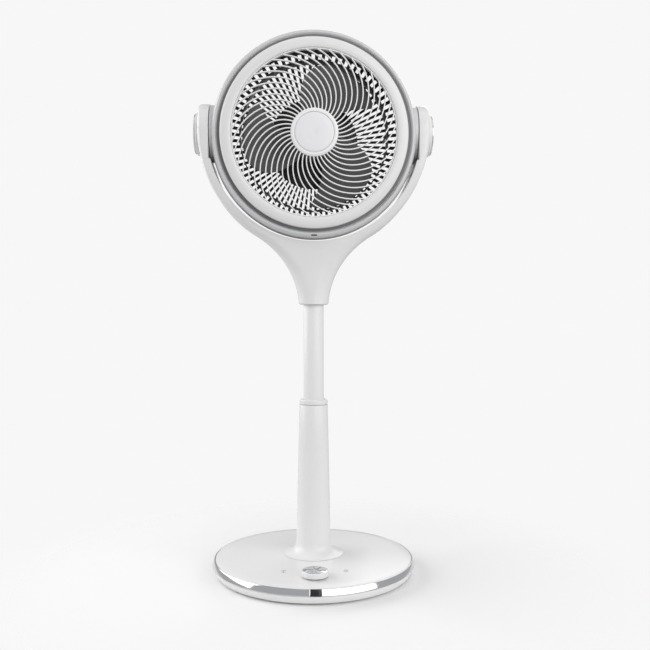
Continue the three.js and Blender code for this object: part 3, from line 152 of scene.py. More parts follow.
# ---------- base pan ----------
# The shallow moulded tray under the base, in white plastic. It tapers towards
# the floor, so that only a narrow white rim shows under the band.
MM = 0.001
UP = Vector((0.0, 0.0, 1.0))
RIGHT = Vector((1.0, 0.0, 0.0))
WALL = 2.4
SMOOTH_BELOW = math.radians(32.0)


def plastic(name, colour, roughness, grain=0.04, bump=0.015, scale=900.0):
    """Moulded plastic: even colour, with a fine grain in its gloss and face."""
    material = bpy.data.materials.new(name)
    material.use_nodes = True
    tree = material.node_tree
    shader = tree.nodes["Principled BSDF"]
    shader.inputs["Base Color"].default_value = (*colour, 1.0)
    shader.inputs["IOR"].default_value = 1.46
    place = tree.nodes.new("ShaderNodeTexCoord")
    noise = tree.nodes.new("ShaderNodeTexNoise")
    noise.inputs["Scale"].default_value = scale
    noise.inputs["Detail"].default_value = 3.0
    tree.links.new(place.outputs["Object"], noise.inputs["Vector"])
    gloss = tree.nodes.new("ShaderNodeMapRange")
    gloss.inputs["To Min"].default_value = roughness - grain
    gloss.inputs["To Max"].default_value = roughness + grain
    tree.links.new(noise.outputs["Fac"], gloss.inputs["Value"])
    tree.links.new(gloss.outputs["Result"], shader.inputs["Roughness"])
    relief = tree.nodes.new("ShaderNodeBump")
    relief.inputs["Strength"].default_value = bump
    relief.inputs["Distance"].default_value = 0.0002
    tree.links.new(noise.outputs["Fac"], relief.inputs["Height"])
    tree.links.new(relief.outputs["Normal"], shader.inputs["Normal"])
    return material


def deselect():
    """Leaves nothing selected, so that an operator acts on the new piece only."""
    if bpy.context.mode != "OBJECT":
        bpy.ops.object.mode_set(mode="OBJECT")
    bpy.ops.object.select_all(action="DESELECT")


def picked(piece, *others):
    """Selects these pieces and no others, with the first one active."""
    deselect()
    for item in (piece, *others):
        item.select_set(True)
    bpy.context.view_layer.objects.active = piece


def sealed():
    """Turns the faces of the mesh in edit mode outwards and leaves that mode."""
    bpy.ops.mesh.select_all(action="SELECT")
    bpy.ops.mesh.normals_make_consistent(inside=False)
    bpy.ops.object.mode_set(mode="OBJECT")


def drawn(name, points):
    """A line through the points, given in metres: one corner, then extruded."""
    deselect()
    bpy.ops.mesh.primitive_plane_add(size=0.001, location=(0.0, 0.0, 0.0))
    piece = bpy.context.object
    piece.name = name
    piece.data.name = name
    bpy.ops.object.mode_set(mode="EDIT")
    bpy.ops.mesh.merge(type="CENTER")
    bpy.ops.transform.translate(value=points[0])
    for here, there in zip(points, points[1:]):
        bpy.ops.mesh.extrude_region_move(TRANSFORM_OT_translate={"value": there - here})
    return piece


def spun(name, profile, steps=160, origin=Vector(), axis=UP, across=RIGHT):
    """A closed profile of [radius, height] in mm, spun round an axis into a solid."""
    outline = [*profile, profile[0]]
    piece = drawn(name, [origin + across * (r * MM) + axis * (h * MM) for r, h in outline])
    bpy.ops.mesh.select_all(action="SELECT")
    bpy.ops.mesh.remove_doubles(threshold=1e-6)
    bpy.ops.mesh.select_all(action="SELECT")
    bpy.ops.mesh.spin(steps=steps, angle=math.tau, center=origin, axis=axis)
    bpy.ops.mesh.select_all(action="SELECT")
    bpy.ops.mesh.remove_doubles(threshold=2e-6)
    bpy.ops.mesh.dissolve_degenerate(threshold=1e-7)
    sealed()
    return piece


def apply_all(piece):
    """Applies the piece's modifiers in order."""
    picked(piece)
    for modifier in [m.name for m in piece.modifiers]:
        bpy.ops.object.modifier_apply(modifier=modifier)


def smoothed(piece):
    """Shades the piece smooth, apart from its sharp edges."""
    picked(piece)
    bpy.ops.object.shade_smooth_by_angle(angle=SMOOTH_BELOW)
    return piece


def softened(piece, width, segments=3, angle=28.0):
    """Rounds the piece's sharp edges and shades the rest smooth."""
    edge = piece.modifiers.new("edges", "BEVEL")
    edge.width = width * MM
    edge.segments = segments
    edge.limit_method = "ANGLE"
    edge.angle_limit = math.radians(angle)
    edge.use_clamp_overlap = True
    apply_all(piece)
    return smoothed(piece)


def finish(piece, material, body, slot, *replaced):
    """Gives the piece its finish, its body and the nodes it stands for."""
    piece.data.materials.clear()
    piece.data.materials.append(material)
    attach(piece, body)
    if replaced:
        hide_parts(*replaced)
    return piece


def box_solid(name, low, high):
    """A plain box between two corners in mm."""
    deselect()
    bpy.ops.mesh.primitive_cube_add(size=1.0, location=(0.0, 0.0, 0.0))
    solid = bpy.context.object
    solid.name = name
    size = (Vector(high) - Vector(low)) * MM
    middle = (Vector(high) + Vector(low)) * (MM / 2.0)
    bpy.ops.object.mode_set(mode="EDIT")
    bpy.ops.transform.resize(value=size, center_override=(0.0, 0.0, 0.0))
    bpy.ops.transform.translate(value=middle)
    bpy.ops.object.mode_set(mode="OBJECT")
    return solid


def solid_cylinder(name, radius, low, high, origin, axis, across, steps=96):
    """A plain cylinder along an axis, used to add or cut a round form."""
    return spun(name, [(0.0, low), (radius, low), (radius, high), (0.0, high)],
                steps, origin, axis, across)


def combined(piece, cutter, operation):
    """Adds or cuts one solid with another, which is then deleted."""
    change = piece.modifiers.new("shape", "BOOLEAN")
    change.operation = operation
    change.solver = "EXACT"
    change.object = cutter
    apply_all(piece)
    bpy.data.objects.remove(cutter, do_unlink=True)
    return piece


gloss_white = plastic("gloss_white", (0.82, 0.82, 0.82), 0.24)
PAN_BOTTOM = 2.5
PAN_TOP = 16.0
INLET_HALF = 7.0
INLET_BOTTOM = 5.2
INLET_TOP = 13.2
INLET_GAP = 0.3
INLET_REAR = 170.7
pan = spun("base_pan_moulding", [
    (0.0, PAN_BOTTOM), (163.0, PAN_BOTTOM), (166.5, PAN_BOTTOM + 1.4), (171.0, 12.0),
    (172.0, PAN_TOP), (160.0, PAN_TOP), (160.0, PAN_BOTTOM + WALL), (0.0, PAN_BOTTOM + WALL),
], steps=192)
softened(pan, 0.8)
opening_low = (-INLET_HALF - INLET_GAP, 150.0, INLET_BOTTOM - INLET_GAP)
opening_high = (INLET_HALF + INLET_GAP, 180.0, INLET_TOP + INLET_GAP)
combined(pan, box_solid("inlet_opening", opening_low, opening_high), "DIFFERENCE")
finish(pan, gloss_white, "base", "white_plastic", "base_pan")

# ---------- rubber feet ----------
# Five black rubber pads, glued into shallow seats under the pan.
rubber = plastic("rubber", (0.016, 0.016, 0.016), 0.75, grain=0.1, bump=0.12, scale=600.0)
FOOT_COUNT = 5
FOOT_CIRCLE = 140.5
for index in range(FOOT_COUNT):
    turn = math.radians(90.0 + 360.0 / FOOT_COUNT * index)
    middle = Vector((FOOT_CIRCLE * math.cos(turn), FOOT_CIRCLE * math.sin(turn), 0.0)) * MM
    foot = spun("foot_pad_%d" % (index + 1), [
        (0.0, 0.0), (6.6, 0.0), (8.2, 0.3), (8.9, 1.0), (9.0, 2.2), (0.0, 2.2),
    ], steps=48, origin=middle)
    softened(foot, 0.2)
    finish(foot, rubber, "base", "rubber", "rubber_foot_%d" % (index + 1))

# ---------- power inlet ----------
# The socket for the supply at the back: a black block with a round bore and
# the contact pin in its middle.
def fused(piece, *others):
    """Joins further meshes into the piece."""
    picked(piece, *others)
    bpy.ops.object.join()
    return piece


def repeated(piece, count, step, origin, axis):
    """Copies a piece round an axis, each copy with its own mesh, and joins them."""
    copies = []
    for index in range(1, count):
        copy = piece.copy()
        copy.data = piece.data.copy()
        scene.collection.objects.link(copy)
        turn = Matrix.Rotation(index * step, 4, axis)
        copy.data.transform(Matrix.Translation(origin) @ turn @ Matrix.Translation(-origin))
        copies.append(copy)
    return fused(piece, *copies)


black_gloss = plastic("black_gloss", (0.02, 0.02, 0.021), 0.3, bump=0.02)
INLET_AXIS = Vector((0.0, 0.0, 9.2)) * MM
BACKWARD = Vector((0.0, 1.0, 0.0))
INLET_BORE = 2.9
INLET_PIN = 0.8
inlet = box_solid("inlet_block", (-INLET_HALF, 152.5, INLET_BOTTOM),
                  (INLET_HALF, INLET_REAR - INLET_GAP, INLET_TOP))
inlet_bore = solid_cylinder("inlet_bore", INLET_BORE, 160.0, 172.0, INLET_AXIS, BACKWARD, RIGHT, 48)
combined(inlet, inlet_bore, "DIFFERENCE")
softened(inlet, 0.4)
inlet_pin = solid_cylinder("inlet_pin", INLET_PIN, 159.0, 169.6, INLET_AXIS, BACKWARD, RIGHT, 24)
softened(inlet_pin, 0.3)
fused(inlet, inlet_pin)
finish(inlet, black_gloss, "base", "black_plastic", "power_inlet")

# ---------- chrome band ----------
# The plated trim ring round the base. It leans inwards towards its upper edge
# and snaps over the rim of the pan.
def metal(name, colour, roughness):
    """Bare or plated metal."""
    material = bpy.data.materials.new(name)
    material.use_nodes = True
    shader = material.node_tree.nodes["Principled BSDF"]
    shader.inputs["Base Color"].default_value = (*colour, 1.0)
    shader.inputs["Metallic"].default_value = 1.0
    shader.inputs["Roughness"].default_value = roughness
    return material


def across_front(name, half_width):
    """A block across the band's front, as wide as the window."""
    return box_solid(name, (-half_width, -180.0, 10.0), (half_width, -160.0, 30.0))


chrome = metal("plated_chrome", (0.66, 0.67, 0.68), 0.09)
WINDOW_HALF = 8.45
WINDOW_GAP = 0.15
BAND_BOTTOM = 16.3
BAND_TOP = 26.6
band_profile = [
    (166.0, BAND_BOTTOM), (172.6, BAND_BOTTOM), (174.0, BAND_BOTTOM + 1.2), (171.2, 24.6),
    (170.2, BAND_TOP), (168.9, BAND_TOP), (168.8, 25.0), (166.0, 24.0),
]
band = spun("chrome_trim_band", band_profile, steps=224)
softened(band, 0.35)
combined(band, across_front("window_opening", WINDOW_HALF + WINDOW_GAP), "DIFFERENCE")
finish(band, chrome, "base", "chrome", "chrome_band")

# ---------- window of the remote control ----------
# A slip of smoked plastic in the front of the band, flush with it. The
# receiver sits behind it.
smoked = plastic("smoked_window", (0.014, 0.014, 0.016), 0.14, bump=0.0)
window = spun("remote_window", band_profile, steps=224)
softened(window, 0.35)
combined(window, across_front("window_width", WINDOW_HALF), "INTERSECT")
finish(window, smoked, "base", "black_plastic", "ir_window")

# ---------- cover of the base ----------
# The white top moulding. It falls gently from the column's foot to its rim,
# and is held by the band.
COVER_SEAT = 32.0
COVER_FLAT = (60.0, COVER_SEAT - 0.1)
COVER_MIDDLE = (110.0, 30.4)
COVER_SLOPE = (150.0, 28.3)
COVER_RIM = 26.9
cover = spun("base_cover_moulding", [
    (0.0, COVER_SEAT - WALL), (0.0, COVER_SEAT), COVER_FLAT, COVER_MIDDLE, COVER_SLOPE,
    (166.6, COVER_RIM + 0.5), (168.3, COVER_RIM - 0.2), (168.5, 25.6), (167.2, 25.2), (166.0, 25.6),
    (COVER_SLOPE[0], COVER_SLOPE[1] - WALL), (COVER_MIDDLE[0], COVER_MIDDLE[1] - WALL),
], steps=224)
softened(cover, 0.5, angle=35.0)
finish(cover, gloss_white, "base", "white_plastic", "base_top_cover")

# ---------- printed signs ----------
# Two small grey signs, printed on the cover over the touch pads: a fan on its
# stand at the left, a clock at the right. The ink stands a hair proud.
ink = plastic("grey_ink", (0.1, 0.1, 0.105), 0.4, bump=0.0)
SIGN_X = 50.0
SIGN_Y = -96.0
INK_LOW = 25.0
INK_HIGH = 36.0
INK_PROUD = 0.04
INK_DEEP = -0.2


def stroke(name, x, y, half_width, half_depth):
    """A straight stroke of ink, deep enough to reach through the cover's face."""
    low = (x - half_width, y - half_depth, INK_LOW)
    return box_solid(name, low, (x + half_width, y + half_depth, INK_HIGH))


def circle(name, x, y, outer, inner):
    """A round stroke of ink."""
    profile = [(inner, INK_LOW), (outer, INK_LOW), (outer, INK_HIGH), (inner, INK_HIGH)]
    return spun(name, profile, 40, Vector((x, y, 0.0)) * MM)


def ink_face(place, depth):
    """A place of the cover's face, moved up or down by a depth in mm."""
    return (place[0], place[1] + depth)


fan_sign = [
    circle("fan_ring", -SIGN_X, SIGN_Y + 2.0, 3.4, 2.7),
    circle("fan_dot", -SIGN_X, SIGN_Y + 2.0, 0.9, 0.0),
    stroke("fan_stand", -SIGN_X, SIGN_Y - 3.2, 0.35, 1.7),
    stroke("fan_foot", -SIGN_X, SIGN_Y - 5.2, 3.2, 0.4),
]
clock_sign = [
    circle("clock_ring", SIGN_X, SIGN_Y, 3.6, 2.9),
    stroke("clock_hand", SIGN_X, SIGN_Y + 1.0, 0.3, 1.2),
    stroke("clock_minute", SIGN_X + 0.9, SIGN_Y - 0.2, 1.1, 0.3),
    stroke("clock_foot", SIGN_X, SIGN_Y - 5.6, 3.2, 0.4),
]
for label, strokes in (("left", fan_sign), ("right", clock_sign)):
    for mark in strokes:
        skin = spun("ink_skin", [
            ink_face(COVER_FLAT, INK_DEEP), ink_face(COVER_MIDDLE, INK_DEEP),
            ink_face(COVER_SLOPE, INK_DEEP), ink_face(COVER_SLOPE, INK_PROUD),
            ink_face(COVER_MIDDLE, INK_PROUD), ink_face(COVER_FLAT, INK_PROUD),
        ], steps=224)
        combined(mark, skin, "INTERSECT")
    sign = fused(*strokes)
    sign.name = "sign_" + label
    finish(sign, ink, "base", "black_plastic")

# ---------- lower column ----------
# The tapered white cover of the column, moulded in one piece. Its foot flares
# out to a thin round skirt that lies on the base.
COLUMN_FOOT = 32.3
COLUMN_TOP = 288.3
COLUMN_BORE = 22.2


def column_radius(height):
    """Outside radius at a height above the foot, in mm."""
    taper = 24.5 + 5.4 * (1.0 - height / (COLUMN_TOP - COLUMN_FOOT))
    return taper + 22.0 * math.exp(-height / 5.4)


flare_heights = (0.0, 0.6, 1.4, 2.4, 3.6, 5.0, 6.8, 9.0, 12.0, 16.0, 21.0, 28.0)
taper_heights = (60.0, 120.0, 190.0, COLUMN_TOP - COLUMN_FOOT)
column = spun("column_cover", (
    [(column_radius(h), COLUMN_FOOT + h) for h in flare_heights + taper_heights]
    + [(COLUMN_BORE, COLUMN_TOP), (COLUMN_BORE, COLUMN_FOOT + 30.0),
       (27.0, COLUMN_FOOT + 6.0), (40.0, COLUMN_FOOT)]
), steps=128)
softened(column, 0.4, angle=40.0)
finish(column, gloss_white, "base", "white_plastic", "lower_column")

# ---------- collar ----------
# The separate ring at the top of the column, which clamps the sliding tube.
COLLAR_BOTTOM = 288.8
COLLAR_TOP = 297.3
COLLAR_BORE = 18.1
COLLAR_RADIUS = 24.3
collar = spun("column_clamp_collar", [
    (COLLAR_BORE, COLLAR_BOTTOM), (COLLAR_RADIUS, COLLAR_BOTTOM), (COLLAR_RADIUS, 295.6),
    (23.0, COLLAR_TOP), (19.6, COLLAR_TOP), (COLLAR_BORE, 296.2),
], steps=128)
softened(collar, 0.6)
finish(collar, gloss_white, "base", "white_plastic", "column_collar")

# ---------- sliding tube ----------
# A steel tube, powder coated in white, that slides in the column and carries
# the neck on its upper end.
tube_white = plastic("tube_white", (0.84, 0.84, 0.84), 0.3, bump=0.03, scale=1500.0)
TUBE_RADIUS = 17.5
TUBE_BORE = 16.0
TUBE_BOTTOM = 226.6
TUBE_TOP = 480.9
tube = spun("sliding_tube", [
    (TUBE_BORE, TUBE_BOTTOM), (TUBE_RADIUS, TUBE_BOTTOM), (TUBE_RADIUS, TUBE_TOP),
    (TUBE_BORE, TUBE_TOP),
], steps=128)
softened(tube, 0.3)
finish(tube, tube_white, "upper_tube", "white_plastic", "upper_tube")

# ---------- drum of the head ----------
# The round housing of the fan, a deep white moulding. A boss on each side
# carries the head between the yoke's arms.
PIVOT = Vector((0.0, 0.0, 0.7549))
REST_TILT = math.radians(3.5)
FORWARD = Vector((0.0, -math.cos(REST_TILT), -math.sin(REST_TILT)))
HEAD_UP = Vector((0.0, -math.sin(REST_TILT), math.cos(REST_TILT)))
DRUM_DROP = 7.5
DRUM_CENTRE = PIVOT - HEAD_UP * (DRUM_DROP * MM)
HEAD_RADIUS = 173.8
DRUM_CREST = 25.0
SEAM_RADIUS = 162.0
SEAM_DEPTH = 56.0
LIP_RADIUS = 166.5
FLANGE_DEPTH = 50.7
FLANGE_RADIUS = 154.2
REAR_EDGE = -58.0
REAR_OPENING = 162.0
GUARD_SEAT = -49.0
BOSS_RADIUS = 48.5
BOSS_REACH = 175.5


def turned_in_head(name, profile, steps=192):
    """A profile of [radius, distance ahead of the pivot], spun round the drum's axis."""
    return spun(name, profile, steps, DRUM_CENTRE, FORWARD, RIGHT)


def drum_wall(share, inset):
    """A point of the drum's wall; the share runs from -1 at the back to 1 at the lip."""
    edge, reach = REAR_OPENING + WALL, DRUM_CREST - REAR_EDGE
    if share > 0.0:
        edge, reach = LIP_RADIUS, SEAM_DEPTH - DRUM_CREST
    radius = edge + (HEAD_RADIUS - edge) * math.sqrt(max(1.0 - share * share, 0.0))
    return (radius - inset, DRUM_CREST + share * reach)


def in_drum(radius, degrees, ahead):
    """A place in the head from a radius in mm, an angle seen from in front and a depth."""
    turn = math.radians(degrees)
    return (DRUM_CENTRE + RIGHT * (radius * math.cos(turn) * MM)
            + HEAD_UP * (radius * math.sin(turn) * MM) + FORWARD * (ahead * MM))


def named(piece, name):
    """Gives the piece and its mesh one name."""
    piece.name = name
    piece.data.name = name
    return piece


def bridged(name, lines, depth, along=FORWARD):
    """A strip between two drawn lines, given its depth, mostly along the drum's axis."""
    piece = named(fused(*[drawn(name + "_edge", line) for line in lines]), name)
    bpy.ops.object.mode_set(mode="EDIT")
    bpy.ops.mesh.select_all(action="SELECT")
    bpy.ops.mesh.bridge_edge_loops()
    bpy.ops.mesh.select_all(action="SELECT")
    bpy.ops.mesh.extrude_region_move(TRANSFORM_OT_translate={"value": along * (depth * MM)})
    sealed()
    return piece


front_wall = [drum_wall(math.sin(math.radians(a)), 0.0) for a in range(80, -1, -10)]
rear_wall = [drum_wall(-math.sin(math.radians(a)), 0.0) for a in range(10, 81, 10)]
inner_rear = [drum_wall(-math.sin(math.radians(a)), WALL) for a in range(55, -1, -11)]
inner_front = [drum_wall(math.sin(math.radians(a)), WALL) for a in (20, 40)]
drum_profile = (
    [(SEAM_RADIUS + 0.8, FLANGE_DEPTH), (SEAM_RADIUS + 0.8, SEAM_DEPTH - 4.0),
     (SEAM_RADIUS + 1.4, SEAM_DEPTH - 3.2), (LIP_RADIUS - 1.8, SEAM_DEPTH - 0.5),
     (LIP_RADIUS - 0.8, SEAM_DEPTH)]
    + front_wall + rear_wall
    + [(REAR_OPENING + 2.6, REAR_EDGE + 2.0), (REAR_OPENING + 1.4, REAR_EDGE),
       (REAR_OPENING, REAR_EDGE + 0.8), (REAR_OPENING, GUARD_SEAT), (165.8, GUARD_SEAT)]
    + inner_rear + inner_front
    + [(LIP_RADIUS - 1.0, FLANGE_DEPTH - WALL), (FLANGE_RADIUS, FLANGE_DEPTH - WALL),
       (FLANGE_RADIUS, FLANGE_DEPTH)]
)
drum = turned_in_head("drum_housing", drum_profile, steps=224)
for side, label in ((-1.0, "left"), (1.0, "right")):
    stub = solid_cylinder("boss_" + label, BOSS_RADIUS, REAR_OPENING + 1.0, BOSS_REACH,
                          PIVOT, RIGHT * side, HEAD_UP, steps=128)
    combined(drum, stub, "UNION")
softened(drum, 1.2, angle=34.0)
silver_white = plastic("silver_white", (0.66, 0.66, 0.67), 0.27)

# Air slots go on from the rear guard round the drum's wall, above and below.
SLOT_PITCH = 4.5
SLOT_RUN = 15
SLOT_REAR = -44.0
SLOT_LENGTH = 44.0
SLOT_HALF = 3.2
SLOT_ROUNDING = 2.2
slot_edges = []
for radius in (REAR_OPENING - WALL, HEAD_RADIUS + 2.0):
    middle = in_drum(radius, 90.0 - SLOT_RUN * SLOT_PITCH, SLOT_REAR)
    sideways = (in_drum(radius, 91.0 - SLOT_RUN * SLOT_PITCH, SLOT_REAR) - middle).normalized()
    slot_edges.append([middle + sideways * (half * MM) for half in (-SLOT_HALF, SLOT_HALF)])
slots = bridged("side_slots", slot_edges, SLOT_LENGTH)
softened(slots, SLOT_ROUNDING)
repeated(slots, 2 * SLOT_RUN + 1, math.radians(SLOT_PITCH), DRUM_CENTRE, -FORWARD)
repeated(slots, 2, math.pi, DRUM_CENTRE, FORWARD)
combined(drum, slots, "DIFFERENCE")
smoothed(drum)
finish(drum, silver_white, "head", "silver_white", "head_shell")

# ---------- sensor window ----------
# A small dark window low on the drum's front rim: a slip of smoked plastic
# with rounded ends, pressed into the lip.
SENSOR_RADIUS = 167.6
SENSOR_HALF_WIDTH = 5.3
SENSOR_HALF_HEIGHT = 1.4
SENSOR_BACK = 45.0
SENSOR_DEPTH = 10.9
SENSOR_ROUNDING = 1.2
sensor_edges = []
for height in (-SENSOR_HALF_HEIGHT, SENSOR_HALF_HEIGHT):
    middle = in_drum(SENSOR_RADIUS + height, -90.0, SENSOR_BACK)
    ends = (-SENSOR_HALF_WIDTH, SENSOR_HALF_WIDTH)
    sensor_edges.append([middle + RIGHT * (half * MM) for half in ends])
sensor = bridged("sensor_slip", sensor_edges, SENSOR_DEPTH)
softened(sensor, SENSOR_ROUNDING, segments=4)
finish(sensor, smoked, "head", "black_plastic", "sensor_window")

# ---------- front ring ----------
# The glossy white ring that holds the grille and snaps into the drum. Its face
# is flat beside the opening, then slopes back to a seam against the drum.
OPENING = 138.5
FACE_DEPTH = 66.0
SKIRT_DEPTH = 48.0
bezel = turned_in_head("front_ring", [
    (OPENING, SKIRT_DEPTH), (OPENING, FACE_DEPTH - 2.6), (OPENING + 0.8, FACE_DEPTH - 0.9),
    (OPENING + 2.6, FACE_DEPTH - 0.2), (OPENING + 8.0, FACE_DEPTH),
    (OPENING + 12.4, FACE_DEPTH - 0.7), (OPENING + 15.8, FACE_DEPTH - 2.0),
    (OPENING + 17.4, FACE_DEPTH - 3.2), (OPENING + 18.3, FACE_DEPTH - 5.2),
    (OPENING + 18.7, SEAM_DEPTH - 2.6), (OPENING + 18.9, SEAM_DEPTH - 4.6),
    (SEAM_RADIUS, SEAM_DEPTH - 4.8), (SEAM_RADIUS, SEAM_DEPTH - 5.0),
    (OPENING + 16.4, SEAM_DEPTH - 5.0), (OPENING + 16.2, FACE_DEPTH - 6.6),
    (OPENING + 14.0, FACE_DEPTH - 5.4), (OPENING + 9.0, FACE_DEPTH - 3.6),
    (OPENING + 3.0, FACE_DEPTH - 3.6), (OPENING + 3.0, SKIRT_DEPTH),
], steps=224)
softened(bezel, 0.5, angle=24.0)
finish(bezel, gloss_white, "head", "white_plastic", "front_bezel")

# ---------- painted shade in the seam ---
# A dark grey ring laid into the seam between the front ring and the drum. It is painted shade:
# it stands in for the shadow that darkens the groove there.
seam_shade_grey = plastic("seam_shade_grey", (0.2, 0.2, 0.205), 0.8, grain=0.1, bump=0.15, scale=900.0)
SHADE_RING_INNER = OPENING + 19.1
SHADE_RING_OUTER = SEAM_RADIUS - 0.2
SHADE_RING_FACE = SEAM_DEPTH - 3.0
seam_shade_piece = turned_in_head("seam_shade_ring", [
    (SHADE_RING_INNER, SEAM_DEPTH - 4.5), (SHADE_RING_INNER, SEAM_DEPTH - 3.4), (SHADE_RING_INNER + 0.4, SHADE_RING_FACE),
    (SHADE_RING_OUTER - 0.4, SHADE_RING_FACE), (SHADE_RING_OUTER, SEAM_DEPTH - 3.4), (SHADE_RING_OUTER, SEAM_DEPTH - 4.7),
], steps=224)
# The grey ring is painted shade in the groove, not a part of the fan.
finish(seam_shade_piece, seam_shade_grey, "head", "rubber")

# ---------- front grille ----------
# One white moulding: a hub, a rim, and swept ribs between them. The ribs are
# deeper than they are wide, and bow forwards towards the hub.
RIB_COUNT = 44
RIB_WIDTH = 1.9
RIB_DEPTH = 5.0
RIB_PHASE = 31.0
RIB_SWEEP = 58.0
RIB_CURL = 1.33
HUB_RADIUS = 39.6
BADGE_RADIUS = 33.0
GRILLE_RADIUS = 138.2
GRILLE_FACE = 63.0
GRILLE_CROWN = 6.0


def crown(radius):
    """How far the grille bows ahead of its rim, in mm."""
    return GRILLE_CROWN * (1.0 - (radius / GRILLE_RADIUS) ** 2)


def rib_turn(radius):
    """The rib's angle at a radius, seen from in front."""
    share = max((radius - HUB_RADIUS) / (GRILLE_RADIUS - HUB_RADIUS), 0.0)
    return RIB_PHASE + RIB_SWEEP * share ** RIB_CURL


RIB_CELLS = 18
RIB_START = HUB_RADIUS - 3.0
RIB_END = GRILLE_RADIUS - 1.5
rib_radii = [RIB_START + (RIB_END - RIB_START) * i / RIB_CELLS for i in range(RIB_CELLS + 1)]
rib_edges = []
for side in (-1.0, 1.0):
    line = []
    for radius in rib_radii:
        near = in_drum(radius - 0.5, rib_turn(radius - 0.5), 0.0)
        far = in_drum(radius + 0.5, rib_turn(radius + 0.5), 0.0)
        sideways = (far - near).normalized().cross(FORWARD)
        middle = in_drum(radius, rib_turn(radius), GRILLE_FACE - RIB_DEPTH + crown(radius))
        line.append(middle + sideways * (side * RIB_WIDTH * MM / 2.0))
    rib_edges.append(line)
grille = bridged("grille_ribs", rib_edges, RIB_DEPTH)
softened(grille, 0.55, segments=2, angle=40.0)
repeated(grille, RIB_COUNT, math.tau / RIB_COUNT, DRUM_CENTRE, FORWARD)
RIM_INNER = GRILLE_RADIUS - 1.8
RIM_BACK = GRILLE_FACE - 9.0
grille_rim = turned_in_head("grille_rim", [
    (RIM_INNER, RIM_BACK), (GRILLE_RADIUS, RIM_BACK), (GRILLE_RADIUS, GRILLE_FACE),
    (RIM_INNER, GRILLE_FACE),
])
softened(grille_rim, 0.5)
HUB_BACK = 62.5
HUB_FRONT = 71.5
hub = turned_in_head("grille_hub", [
    (0.0, HUB_BACK), (HUB_RADIUS - 2.0, HUB_BACK), (HUB_RADIUS, HUB_BACK + 2.0),
    (HUB_RADIUS, HUB_FRONT - 2.6), (HUB_RADIUS - 0.7, HUB_FRONT - 1.2),
    (HUB_RADIUS - 2.2, HUB_FRONT - 0.3), (HUB_RADIUS - 4.2, HUB_FRONT),
    (BADGE_RADIUS + 0.5, HUB_FRONT - 0.2), (BADGE_RADIUS, HUB_FRONT - 0.7),
    (BADGE_RADIUS, HUB_FRONT - 2.8), (0.0, HUB_FRONT - 2.8),
], steps=128)
softened(hub, 0.3, angle=40.0)
fused(grille, grille_rim, hub)
bright_white = plastic("bright_white", (0.92, 0.92, 0.92), 0.26)
finish(grille, bright_white, "head", "white_plastic", "front_grille")

# ---------- hub badge ----------
# A plain disc of pale grey plastic, slightly domed. It is pressed into the
# hub's recess and left bare.
badge_grey = plastic("badge_grey", (0.88, 0.88, 0.9), 0.3, bump=0.01)
DISC_RADIUS = 32.4
badge = turned_in_head("hub_disc", [
    (0.0, HUB_FRONT - 2.5), (DISC_RADIUS, HUB_FRONT - 2.5), (DISC_RADIUS, HUB_FRONT - 0.9),
    (31.8, HUB_FRONT - 0.4), (30.4, HUB_FRONT - 0.1), (20.0, HUB_FRONT + 0.25),
    (10.0, HUB_FRONT + 0.42), (0.0, HUB_FRONT + 0.48),
], steps=128)
softened(badge, 0.15, angle=50.0)
finish(badge, badge_grey, "head", "badge_grey", "hub_badge")

# ---------- rear guard ----------
# The black grating behind the fan: a disc that carries the motor, and radial
# bars out to a rim that clips into the drum.
black_matt = plastic("black_matt", (0.022, 0.022, 0.023), 0.42, bump=0.02)
GUARD_BACK = -48.7
GUARD_FRONT = GUARD_BACK + 4.0
GUARD_DISC = 80.0
GUARD_RIM = 160.0
GUARD_RADIUS = 165.5
BAR_COUNT = 80
BAR_DEPTH = 3.6
BAR_PHASE = 92.25
guard = turned_in_head("rear_grating", [
    (0.0, GUARD_BACK), (GUARD_DISC, GUARD_BACK), (GUARD_DISC, GUARD_FRONT), (0.0, GUARD_FRONT),
], steps=128)
softened(guard, 0.6)
guard_rim = turned_in_head("guard_rim", [
    (GUARD_RIM, GUARD_BACK), (GUARD_RADIUS, GUARD_BACK), (GUARD_RADIUS, GUARD_FRONT),
    (GUARD_RIM, GUARD_FRONT),
])
softened(guard_rim, 0.6)


def bar_edge(side):
    """One side of a bar, which is as wide as the slot beside it at every radius."""
    turn = BAR_PHASE + side * 90.0 / BAR_COUNT
    ends = (GUARD_DISC - 1.0, GUARD_RIM + 1.0)
    return [in_drum(radius, turn, GUARD_BACK + 0.2) for radius in ends]


bars = bridged("guard_bars", [bar_edge(-1.0), bar_edge(1.0)], BAR_DEPTH)
softened(bars, 0.8, segments=2)
repeated(bars, BAR_COUNT, math.tau / BAR_COUNT, DRUM_CENTRE, FORWARD)
fused(guard, guard_rim, bars)
finish(guard, black_matt, "head", "black_plastic", "rear_guard")

# ---------- motor cover ----------
# The round white cap behind the motor. It is moulded with a domed back and
# clips to the disc of the rear guard.
CAP_FRONT = -49.0
motor_cap = turned_in_head("motor_back_cap", [
    (0.0, -85.0), (20.0, -84.7), (36.0, -83.6), (48.0, -81.6), (56.0, -79.0), (61.0, -75.8),
    (64.0, -71.6), (65.3, -66.0), (66.0, CAP_FRONT), (63.6, CAP_FRONT), (62.9, -65.0),
    (61.4, -70.6), (58.6, -74.0), (54.0, -76.8), (46.0, -79.3), (34.0, -81.2), (0.0, -82.4),
], steps=128)
softened(motor_cap, 0.3, angle=45.0)
finish(motor_cap, silver_white, "head", "silver_white", "motor_cover")

